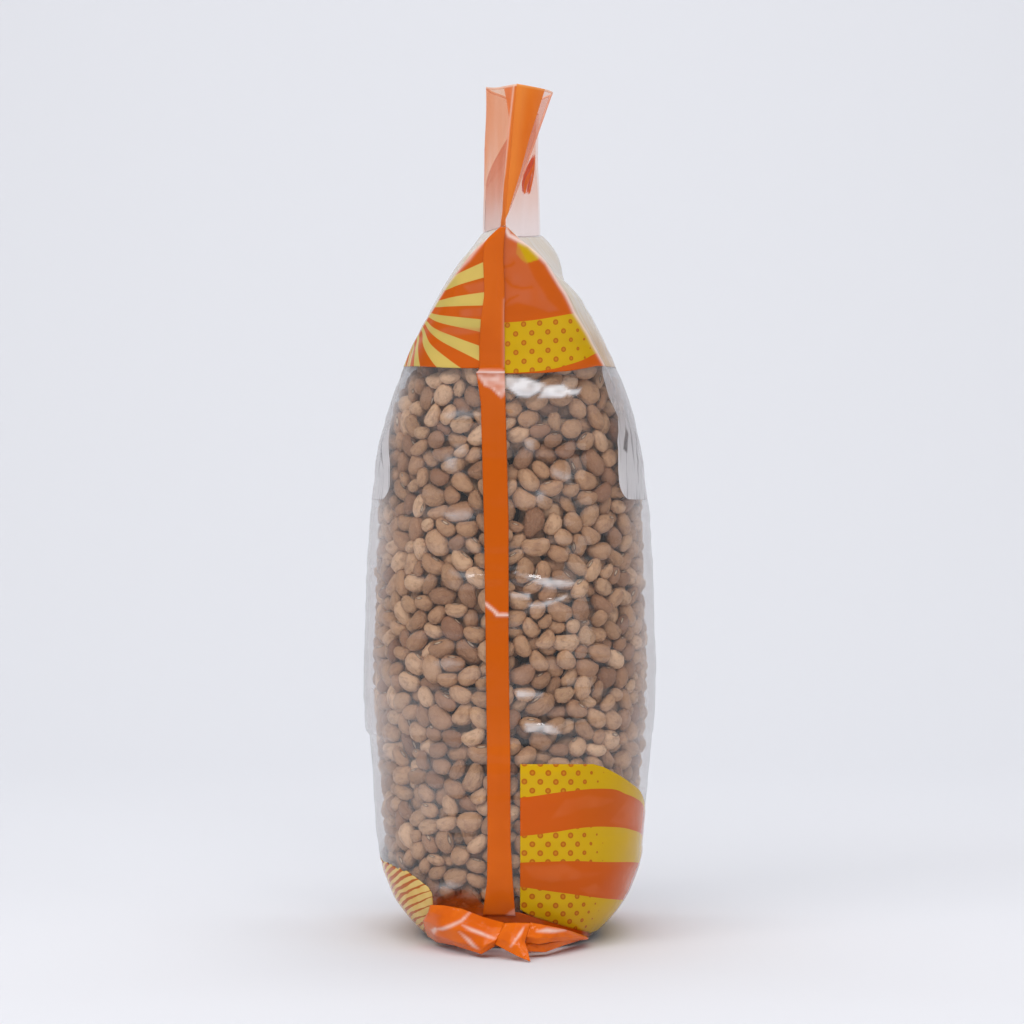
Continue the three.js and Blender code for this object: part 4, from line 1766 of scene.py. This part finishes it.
        # The orange ink's painted highlights lie in a stripe and along the top rim.
        orange = PlainInk("tail_ink", INKS.bright_orange, srgb(240, 118, 26), roughness=0.2,
                          cloud=50.0, painted_sheen=srgb(250, 160, 84), gloss=0.1).build()
        pink = TailFilm("tail_right", neck=(0.985, 0.942, 0.925, 1.0),
                        low=(0.983, 0.913, 0.888, 1.0), high=(0.967, 0.845, 0.80, 1.0)).build()
        return [
            self.sheet("tail_left", near, far, z, -1, peach),
            self.sheet("tail_ink", near, border, z, 1, orange),
            self.sheet("tail_right", border, far, z, 1, pink),
        ]

    def _border(self, z: Array) -> Array:
        """Distance at which the opaque print ends: where the right film reaches the edge's X."""
        edge = np.interp(z[:, 0], self.edge_z, self.edge_x)
        steps = np.linspace(0.05, 40, 400)
        x = self.film_points(steps[None, :] + 0 * z, z + 0 * steps[None, :], 1)[..., 0]
        opened = self.form.gape_right.peak * np.maximum(self.form.opening(z), 0.04)
        reached = (x >= edge[:, None]) | (steps[None, :] >= opened)
        return np.maximum(steps[np.argmax(reached, axis=1)], 1.5)[:, None]


@dataclass
class BottomFolds:
    """The crumpled film at the bag's foot: sharp folds between listed points."""

    near_left: tuple = (
        ((-30.4, -36, 2.6), (-26.8, -46, 1.8), (-20, -60, 2.6), (-10.2, -74, 1.6),
         (-5.6, -72, 3.8)),
        ((-31.4, -42, 6.4), (-26.6, -55, 5.6), (-18.5, -66.5, 4.6), (-9.6, -75, 4.4),
         (-4.6, -74.5, 6.8)),
        ((-31.6, -48, 10.0), (-25.4, -60.5, 9.6), (-17, -69.5, 9.2), (-8.6, -73.5, 8.6),
         (-3.4, -73.5, 9)),
        ((-29.6, -53, 13.6), (-24.5, -60, 13.8), (-16.8, -66.5, 12.8), (-9, -71, 11.2),
         (-2.6, -72, 10.6)),
        ((-28.8, -54, 16.4), (-23.8, -58, 16.8), (-17.4, -62, 16.2), (-9.8, -66, 13.8),
         (-2, -68, 11.9)),
    )
    middle: tuple = (
        ((-5.7, -73, 5.2), (-1.2, -78, 3.4), (3.4, -81.5, 1.6), (7.1, -84, 0.5)),
        ((-4.6, -74, 7.6), (-0.4, -78.4, 6.4), (3.4, -80.4, 4.8), (6.4, -81.5, 3.4)),
        ((-3.2, -73.5, 9.8), (0.6, -77.6, 9.2), (4.0, -78.2, 8.2), (5.3, -77.5, 6.6)),
        ((-2, -71, 12.2), (2, -72.6, 12.6), (5.6, -73, 12.6), (7.2, -73.2, 12.4)),
    )
    near_right: tuple = (
        ((5.5, -74, 5.6), (10, -74.5, 5.2), (15, -70, 5.4), (21.6, -60, 4.4), (28, -48, 3.0)),
        ((6, -76.5, 8.2), (10.6, -75, 7.4), (16, -69.5, 7.0), (22, -60.5, 5.6), (28.2, -49, 3.3)),
        ((6.6, -74.5, 10.4), (11.6, -72.5, 9.4), (16.6, -67.6, 8.6), (22, -60, 6.8),
         (28.4, -48, 3.6)),
        ((7.2, -71.5, 12.5), (12, -69.5, 11.4), (17.0, -65.5, 9.8), (22, -58.5, 7.6),
         (28.2, -46, 3.8)),
    )
    under_right: tuple = (
        ((5.4, -68, 0.9), (13, -64, 0.8), (20, -50, 1.6), (28.4, -38, 2.2)),
        ((5.8, -73.5, 2.6), (12.4, -71.5, 1.9), (19.4, -61, 2.8), (28.6, -44, 3.2)),
        ((5.4, -73, 5.6), (10, -73, 4.6), (16.4, -67, 4.8), (26.5, -52, 4.4)),
    )
    steps: int = 10
    crumple: float = 0.32
    thickness: float = 0.25
    far_scale: tuple = (-0.92, -1.0, 0.94)
    far_draw: float = 2.5
    # Painted highlight streaks on the glossy folds.
    streaks: tuple = (
        Path(((-27, 8), (-17.5, 12.6), (-14, 15.4), (-17, 12.2), (-24, 8.2))),
        Path(((-16.8, 11), (-10, 9.2), (-5.6, 7.2), (-9.4, 8), (-14, 9.4))),
        Path(((-18, 8.6), (-14.6, 6.6), (-11.2, 3.2), (-13.4, 3.8))),
        Path(((-28.6, 7), (-27, 8.6), (-26.4, 7.4), (-27.6, 5.6))),
        Path(((0.2, 5), (4, 9.4), (4.8, 11), (3.4, 9.6))),
        Path(((9.4, 9.6), (13, 10.2), (20, 8.4), (15, 8.6))),
    )

    def surface(self, corners: tuple, seed: int) -> tuple[Array, Array]:
        """A sheet through given corners.

        Args:
            corners: rows of points.
            seed: seed of the small crumples.

        Returns:
            Points blended straight between the corners, rounded a little, with noise, and UV.
        """
        coarse = np.array(corners, float)
        rows, columns = coarse.shape[0], coarse.shape[1]
        fine_rows = np.linspace(0, rows - 1, (rows - 1) * self.steps + 1)
        fine_columns = np.linspace(0, columns - 1, (columns - 1) * self.steps + 1)
        i = np.minimum(fine_rows.astype(int), rows - 2)
        j = np.minimum(fine_columns.astype(int), columns - 2)
        a, b = (fine_rows - i)[:, None, None], (fine_columns - j)[None, :, None]
        low = coarse[i][:, j] * (1 - b) + coarse[i][:, j + 1] * b
        high = coarse[i + 1][:, j] * (1 - b) + coarse[i + 1][:, j + 1] * b
        grid = low * (1 - a) + high * a
        for _ in range(2):
            inner = grid[1:-1, 1:-1]
            around = grid[:-2, 1:-1] + grid[2:, 1:-1] + grid[1:-1, :-2] + grid[1:-1, 2:]
            grid[1:-1, 1:-1] = 0.5 * inner + 0.125 * around
        x, z = grid[..., 0], grid[..., 2]
        noise = Noise(seed).at((x + z) / 3.4 + 30, (z - x) / 1.9 + 30)
        noise = np.abs(noise) + 0.35 * Noise(seed + 1).over(x, z, (1.4, 1.4), 30)
        grid[..., 1] -= self.crumple * noise
        grid[..., 2] = np.maximum(grid[..., 2], 0.3)
        return grid, np.stack([x, z], axis=-1)

    def build(self) -> list[Object]:
        """The near folds with their flap, and the same folds, turned round, at the far side."""
        ink = PlainInk("fold_ink", INKS.fold_orange, srgb(220, 98, 18), roughness=0.12,
                       cloud=120.0, gloss=0.16).build()
        sets = (self.near_left, self.middle, self.near_right, self.under_right)
        near = [self.surface(corners, 41 + 2 * k) for k, corners in enumerate(sets)]
        far = [self._behind(self.surface(corners, 61 + 2 * k)) for k, corners in enumerate(sets)]
        pieces = []
        for name, grids in (("fold_near", near), ("fold_far", far)):
            points, faces, uv = Mesher.sheet(grids, self.thickness)
            # Painted highlights along the streaks.
            painted_sheen = 0.7 * cover(self.streaks, *uv.T, 0.7)
            marks = {"painted_sheen": np.clip(painted_sheen, 0, 1)}
            pieces.append(Mesher.make(name, points, faces, ink, uv, marks))
        return pieces

    def _behind(self, pair: tuple[Array, Array]) -> tuple[Array, Array]:
        """A sheet turned half a turn about the bag's upright axis and drawn in a little."""
        grid, uv = pair
        turned = grid * np.array(self.far_scale)
        turned[..., 1] -= self.far_draw
        return turned, uv


class BeanKind(Enum):
    """Kinds of bean: name, bend, notch, lumps, wrinkles, relief of the skin, darker tone."""

    PLUMP = ("beans_plump", 0.05, 0.05, 0.03, 0.0, 0.2, 0.0)
    KIDNEY = ("beans_kidney", 0.2, 0.14, 0.035, 0.0, 0.2, 0.0)
    WRINKLED = ("beans_wrinkled", 0.1, 0.1, 0.05, 0.07, 0.6, 0.12)


@dataclass
class BeanHeap:
    """Beans behind the film: random sizes, pushed apart until they only touch."""

    form: BagForm
    count: int = 3300
    long_half: float = 4.55
    long_spread: float = 0.62
    flat: tuple = (0.71, 0.05)
    thin: tuple = (0.60, 0.05)
    slants: float = 0.75
    tips: float = 0.28
    rolls: float = 0.45
    shares: tuple = (0.38, 0.34, 0.28)
    side_gap: tuple = (3.4, 1.2)
    label_gap: float = 1.6
    seal_gap: float = 4.0
    foot_gap: float = 3.0
    near_gap: float = 0.9
    near_seal_gap: float = 3.0
    near_foot_gap: float = 1.8
    layer: float = 11.0
    floor: float = 1.8
    top: float = 220.0
    rounds: int = 70
    around: int = 12
    rings: int = 6
    core_depth: float = 13.0
    core_size: tuple = (120, 160)
    reach: float = 12.5
    contact: float = 0.985
    give: float = 0.42
    most_move: float = 1.5
    spread: float = 1.0006
    refresh: int = 7

    def __post_init__(self) -> None:
        """Draw the sizes and directions of all beans."""
        self.random = np.random.default_rng(20)
        long_half = self.random.normal(self.long_half, self.long_spread, self.count)
        long_half = np.clip(long_half, 3.3, 6.0)
        flat = np.clip(self.random.normal(*self.flat, self.count), 0.58, 0.86)
        thin = np.clip(self.random.normal(*self.thin, self.count), 0.5, 0.72)
        self.halves = np.stack([long_half, long_half * flat, long_half * thin], axis=1)
        self.slant = self.random.normal(0.0, self.slants, self.count)
        self.tip = self.random.normal(0.0, self.tips, self.count)
        self.roll = self.random.normal(0.0, self.rolls, self.count)

    def share(self, points: Array, inset: Array | float) -> tuple:
        """How far out points lie: 1 on the form drawn in by an inset.

        Args:
            points: n x 3.
            inset: distance that the form is drawn in.

        Returns:
            The share, X measured from the middle line, and the half thickness there.
        """
        x, y, z = points.T
        level = np.clip(z, 0.0, self.form.seal_bottom)
        thick = np.maximum(self.form.measure("thick", level) - self.gap(level) - inset, 1.5)
        near = self.near_gap + self.near_seal_gap * smooth(203, 220, level)
        near = near + self.near_foot_gap * (1 - smooth(14, 45, level))
        wide = np.maximum(self.form.measure("wide", level) - near - inset, 3.0)
        square = self.form.measure("square", level)
        x = x - self.form.middle_line(y, level)
        share = ((np.abs(x) / thick) ** square + (np.abs(y) / wide) ** square) ** (1 / square)
        return share, x, thick

    def gap(self, z: Array) -> Array:
        """Gap between beans and film: wide at the foot, narrow above, wide again near the seal."""
        low, high = self.side_gap
        ends = self.label_gap * smooth(186, 200, z) + self.seal_gap * smooth(203, 220, z)
        ends = ends + self.foot_gap * (1 - smooth(8, 26, z))
        return low + (high - low) * smooth(140, 185, z) + ends

    def confine(self, points: Array) -> Array:
        """Bring points back between the film and the depth that the layer reaches to."""
        inset = self.halves[:, 2]
        points[:, 2] = np.clip(points[:, 2], self.floor + inset, self.top)
        share, x, thick = self.share(points, inset)
        least = np.clip(1 - self.layer / thick, 0.05, 0.95)
        wanted = np.clip(share, least, 1.0) / np.maximum(share, 1e-6)
        middle = points[:, 0] - x
        points[:, 0] = middle + x * wanted
        points[:, 1] *= wanted
        return points

    def frames(self, points: Array) -> Array:
        """Directions of the beans' long, flat and thin axes.

        Args:
            points: places of the beans.

        Returns:
            n x 3 x 3 with the axes as columns: the thin axis near the film's normal, the long
            axis near level, each turned by the bean's own angles.
        """
        level = points[:, 2]
        thick, wide = self.form.measure("thick", level), self.form.measure("wide", level)
        normal = np.stack([points[:, 0] / thick ** 2, points[:, 1] / wide ** 2,
                           np.zeros(len(points))], axis=1)
        normal /= np.maximum(np.linalg.norm(normal, axis=1, keepdims=True), 1e-9)
        up = np.array([0.0, 0.0, 1.0])
        level_axis = np.cross(up, normal)
        cos, sin = np.cos(self.slant)[:, None], np.sin(self.slant)[:, None]
        long_axis = level_axis * cos + up * sin
        long_axis = long_axis * np.cos(self.tip)[:, None] + normal * np.sin(self.tip)[:, None]
        long_axis /= np.linalg.norm(long_axis, axis=1, keepdims=True)
        flat_axis = np.cross(normal, long_axis)
        flat_axis /= np.linalg.norm(flat_axis, axis=1, keepdims=True)
        thin_axis = np.cross(long_axis, flat_axis)
        cos, sin = np.cos(self.roll)[:, None], np.sin(self.roll)[:, None]
        turned = flat_axis * cos + thin_axis * sin
        return np.stack([long_axis, turned, np.cross(long_axis, turned)], axis=2)

    def neighbours(self, points: Array, reach: float) -> tuple[Array, Array]:
        """Pairs of beans that are close.

        Args:
            points: places of the beans.
            reach: distance that a pair is closer than.

        Returns:
            Indices of the first and of the second beans, each pair once.
        """
        first, second = [], []
        block = 400
        for start in range(0, len(points), block):
            part = points[start:start + block]
            gap = ((part[:, None, :] - points[None, :, :]) ** 2).sum(axis=2)
            i, j = np.nonzero(gap < reach ** 2)
            keep = i + start < j
            first.append(i[keep] + start)
            second.append(j[keep])
        return np.concatenate(first), np.concatenate(second)

    def settle(self) -> tuple[Array, Array]:
        """Push overlapping beans apart round by round inside the film.

        Returns:
            Places, and the axes of each bean. Two beans touch when their distance is the sum of
            their ellipsoids' radii along the line between them.
        """
        z = self.random.uniform(self.floor + 3, self.top, self.count)
        u = self.random.uniform(-1, 1, self.count) * self.form.half_girth(z)
        depth = self.random.uniform(3, self.layer, self.count)
        points = self.confine(self.form.wrap(u, z, -depth - self.near_gap))
        for turn in range(self.rounds):
            if turn % self.refresh == 0:
                axes = self.frames(points)
                inverse = np.einsum("nij,nj,nkj->nik", axes, self.halves ** -2.0, axes)
                i, j = self.neighbours(points, self.reach)
            line = points[j] - points[i]
            gap = np.maximum(np.linalg.norm(line, axis=1), 1e-6)
            line /= gap[:, None]
            radius_i = np.einsum("ni,nij,nj->n", line, inverse[i], line) ** -0.5
            radius_j = np.einsum("ni,nij,nj->n", line, inverse[j], line) ** -0.5
            overlap = np.maximum(0.0, (radius_i + radius_j) * self.contact - gap)
            push = line * (overlap * self.give)[:, None]
            move = np.zeros_like(points)
            np.add.at(move, i, -push)
            np.add.at(move, j, push)
            length = np.linalg.norm(move, axis=1, keepdims=True)
            move *= np.minimum(1.0, self.most_move / np.maximum(length, 1e-9))
            points += move
            points[:, :2] *= self.spread
            points = self.confine(points)
        return points, self.frames(points)

    def template(self) -> tuple[Array, list]:
        """Directions and faces of a ball whose poles lie on the long axis."""
        polar = (np.arange(1, self.rings + 1) / (self.rings + 1)) * np.pi
        turn = np.arange(self.around) / self.around * 2 * np.pi
        ring_x = np.repeat(np.cos(polar), self.around)
        ring_r = np.repeat(np.sin(polar), self.around)
        angle = np.tile(turn, self.rings)
        body = np.stack([ring_x, ring_r * np.cos(angle), ring_r * np.sin(angle)], axis=1)
        ball = np.concatenate([body, [[1, 0, 0], [-1, 0, 0]]])
        quads, index, following = Mesher.rings(self.rings, self.around)
        pole = self.rings * self.around
        front = np.stack([np.full(self.around, pole), index[0], following[0]], axis=1)
        back = np.stack([np.full(self.around, pole + 1), following[-1], index[-1]], axis=1)
        return ball, [quads[:, [0, 3, 2, 1]], front, back]

    def shapes(self, ball: Array, chosen: Array, kind: BeanKind) -> Array:
        """Points of the chosen beans about their own middles.

        Args:
            ball: directions of the template.
            chosen: indices of the beans.
            kind: their kind.

        Returns:
            Beans x points x 3: an ellipsoid, blunt at its ends, thicker at one end, bent, notched
            beside the seed scar, with low random lumps.
        """
        _, bend, notch, lump, wrinkle, *_ = kind.value
        waves = 6
        count = len(chosen)
        x, y, z = ball.T
        draw = self.random.normal(0.0, 1.0, (count, waves, 4))
        lumps = np.zeros((count, len(ball)))
        for k in range(waves):
            wave = draw[:, k, :3] * (1.3 + 0.35 * k)
            lumps += np.sin(wave @ ball.T + draw[:, k, 3:] * 3.0)
        size = 1 + lump * lumps / 1.7
        if wrinkle:
            ridge = np.abs(np.sin(draw[:, 0, :1] * 2 + 5.5 * y + 3.0 * z * x))
            size = size - wrinkle * ridge ** 3
        egg = self.random.normal(0.0, 0.07, (count, 1))
        bends = bend * self.random.uniform(0.5, 1.5, (count, 1))
        blunt = np.sign(x) * np.abs(x) ** 0.9
        halves = self.halves[chosen]
        px = halves[:, :1] * blunt * size
        width = 1 + egg * x
        dent = 1 - notch * np.exp(-(x / 0.4) ** 2) * np.clip(y, 0, 1) ** 2
        py = halves[:, 1:2] * y * size * width * dent + halves[:, :1] * bends * (x * x - 0.35)
        pz = halves[:, 2:] * z * size * width
        return np.stack([px, py, pz], axis=2)

    def build(self) -> list[Object]:
        """One object for each kind of bean, and the dark heap behind them."""
        points, axes = self.settle()
        ball, faces = self.template()
        kinds = self.random.choice(len(self.shares), self.count, p=self.shares)
        pieces = []
        for number, kind in enumerate(BeanKind):
            chosen = np.nonzero(kinds == number)[0]
            local = self.shapes(ball, chosen, kind)
            world = points[chosen][:, None, :] + np.einsum("nij,nkj->nki", axes[chosen], local)
            shift = (np.arange(len(chosen)) * len(ball))[:, None, None]
            joined = [(part[None] + shift).reshape(-1, part.shape[1]) for part in faces]
            name, *_, relief, darker = kind.value
            tone = self.random.beta(2.2, 2.4, len(chosen)) + darker
            seed = self.random.uniform(0, 200, (len(chosen), 3))
            attributes = {
                "tone": np.repeat(tone, len(ball)),
                "local": np.tile(ball, (len(chosen), 1)),
                "seed": np.repeat(seed, len(ball), axis=0),
            }
            skin = BeanSkin(name, wrinkle=relief).build()
            flat = world.reshape(-1, 3)
            pieces.append(Mesher.make(name, flat, joined, skin, None, attributes))
        return [*pieces, self.core()]

    def core(self) -> Object:
        """A closed lumpy body, dark with painted shade, that fills the bag behind the beans that
        show.
        """
        rows, columns = self.core_size
        z = np.linspace(4.0, self.top, rows)[:, None]
        share = np.linspace(-1, 1, columns + 1)[None, :-1]
        u = share * self.form.half_girth(z)
        z = np.broadcast_to(z, u.shape)
        lumps = Noise(51).over(u, z, (4, 4), 80) * 1.4
        inward = self.core_depth + (self.gap(z) - 0.5) * smooth(30, 60, np.abs(u))
        inward = np.minimum(inward, 0.75 * self.form.measure("thick", z))
        points = self.form.wrap(u, z, lumps - inward)
        ends = [points[0].mean(axis=0), points[-1].mean(axis=0)]
        vertices = np.concatenate([points.reshape(-1, 3), ends])
        quads, index, following = Mesher.rings(rows, columns)
        low, high = np.full(columns, rows * columns), np.full(columns, rows * columns + 1)
        bottom = np.stack([low, following[0], index[0]], axis=1)
        top = np.stack([high, index[-1], following[-1]], axis=1)
        return Mesher.make("bean_core", vertices, [quads, bottom, top], BeanDepth().build())


@dataclass
class Studio:
    """Plain pale sweep, soft lights and the photograph's camera, in metres."""

    eye: tuple = (0.0007, -1.137, 0.158)
    focal_pixels: float = 3005.0
    picture: float = 1024.0
    sensor: float = 36.0
    floor_white: tuple = srgb(225, 226, 231)
    floor_shade: tuple = srgb(221, 222, 228)
    world: tuple = (0.96, 0.97, 1.0, 1.0)
    world_strength: float = 0.31
    lights: tuple = (
        ("key", (-1.1, -1.3, 1.5), (0, 0, 0.12), (1.0, 0.8), 10.6),
        ("front", (0.0, -1.5, 1.25), (0, 0, 0.2), (1.3, 0.35), 11.2),
        ("overhead", (0.1, -0.2, 2.0), (0, 0, 0.1), (1.4, 1.2), 11.0),
        ("fill", (1.4, -1.1, 0.7), (0, 0, 0.15), (0.9, 1.2), 3.0),
        ("wall", (0.0, 0.6, 2.6), (0, 1.8, 1.1), (3.0, 0.5), 25.0),
    )

    def sweep(self) -> Object:
        """A floor that curves up into a back wall."""
        turn = np.linspace(0, np.pi / 2, 60)
        y = np.concatenate([[-3.0, 0.2], 0.7 + 1.1 * np.sin(turn), [1.8]])
        z = np.concatenate([[0.0, 0.0], 1.1 - 1.1 * np.cos(turn), [3.4]])
        x = np.linspace(-3.5, 3.5, 12)
        across, along = np.meshgrid(x, y)
        grid = np.stack([across, along, np.broadcast_to(z[:, None], along.shape)], axis=-1)
        shader = Shader("sweep")
        cloud = shader.noise(shader.spot(), 1.2, 2.0)
        colour = shader.mix(cloud * 0.1, self.floor_white, self.floor_shade)
        coat = shader.socket("ShaderNodeBsdfPrincipled", Base_Color=colour, Roughness=0.8)
        material = shader.surface(coat)
        faces = [Mesher.quads(*across.shape)]
        return Mesher.make("sweep", grid.reshape(-1, 3) / MM, faces, material)

    def light(self, name: str, place: tuple, target: tuple, size: tuple, power: float) -> None:
        """One soft rectangular light that looks at a point.

        Args:
            name: its name.
            place: where it is.
            target: the point.
            size: its width and height.
            power: its power in watts.
        """
        data = bpy.data.lights.new(name, "AREA")
        data.shape = "RECTANGLE"
        data.size, data.size_y = size
        data.energy = power
        item = bpy.data.objects.new(name, data)
        bpy.context.collection.objects.link(item)
        item.location = place
        way = Vector(target) - Vector(place)
        item.rotation_euler = way.to_track_quat("-Z", "Y").to_euler()

    def build(self) -> Object:
        """Camera, lights, world and sweep."""
        camera = bpy.data.cameras.new("camera")
        camera.sensor_width = self.sensor
        camera.lens = self.focal_pixels * self.sensor / self.picture
        camera.clip_start = 0.05
        eye = bpy.data.objects.new("camera", camera)
        bpy.context.collection.objects.link(eye)
        eye.location = self.eye
        eye.rotation_euler = (math.pi / 2, 0.0, 0.0)
        scene = bpy.context.scene
        scene.camera = eye
        scene.view_settings.view_transform = "Standard"
        world = bpy.data.worlds.new("studio")
        world.use_nodes = True
        back = world.node_tree.nodes["Background"]
        back.inputs["Color"].default_value = self.world
        back.inputs["Strength"].default_value = self.world_strength
        scene.world = world
        for name, place, target, size, power in self.lights:
            self.light(name, place, target, size, power)
        return self.sweep()


def main() -> None:
    """Build the studio and the bag, and say what each piece stands for."""
    logging.basicConfig(level=logging.INFO, format="%(message)s")
    Studio().build()
    form = BagForm()
    film = Film(form)
    pieces = [
        (film.build(), Slot.CLEAR_FILM),
        (FinSeal(form, film).build(), Slot.PRINTED_FILM),
    ]
    pieces += [(piece, Slot.PRINTED_FILM) for piece in PrintedSheets(form, film).build()]
    pieces += [(piece, Slot.PRINTED_FILM) for piece in Tail(form).build()]
    pieces += [(piece, Slot.PRINTED_FILM) for piece in BottomFolds().build()]
    pieces += [(piece, Slot.BEANS) for piece in BeanHeap(form).build()]
    for piece, slot in pieces:
        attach(piece, "root")
        LOG.info("%s: %d faces, slot %s", piece.name, len(piece.data.polygons), slot.value)
    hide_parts(NODE)


if __name__ == "__main__":
    main()
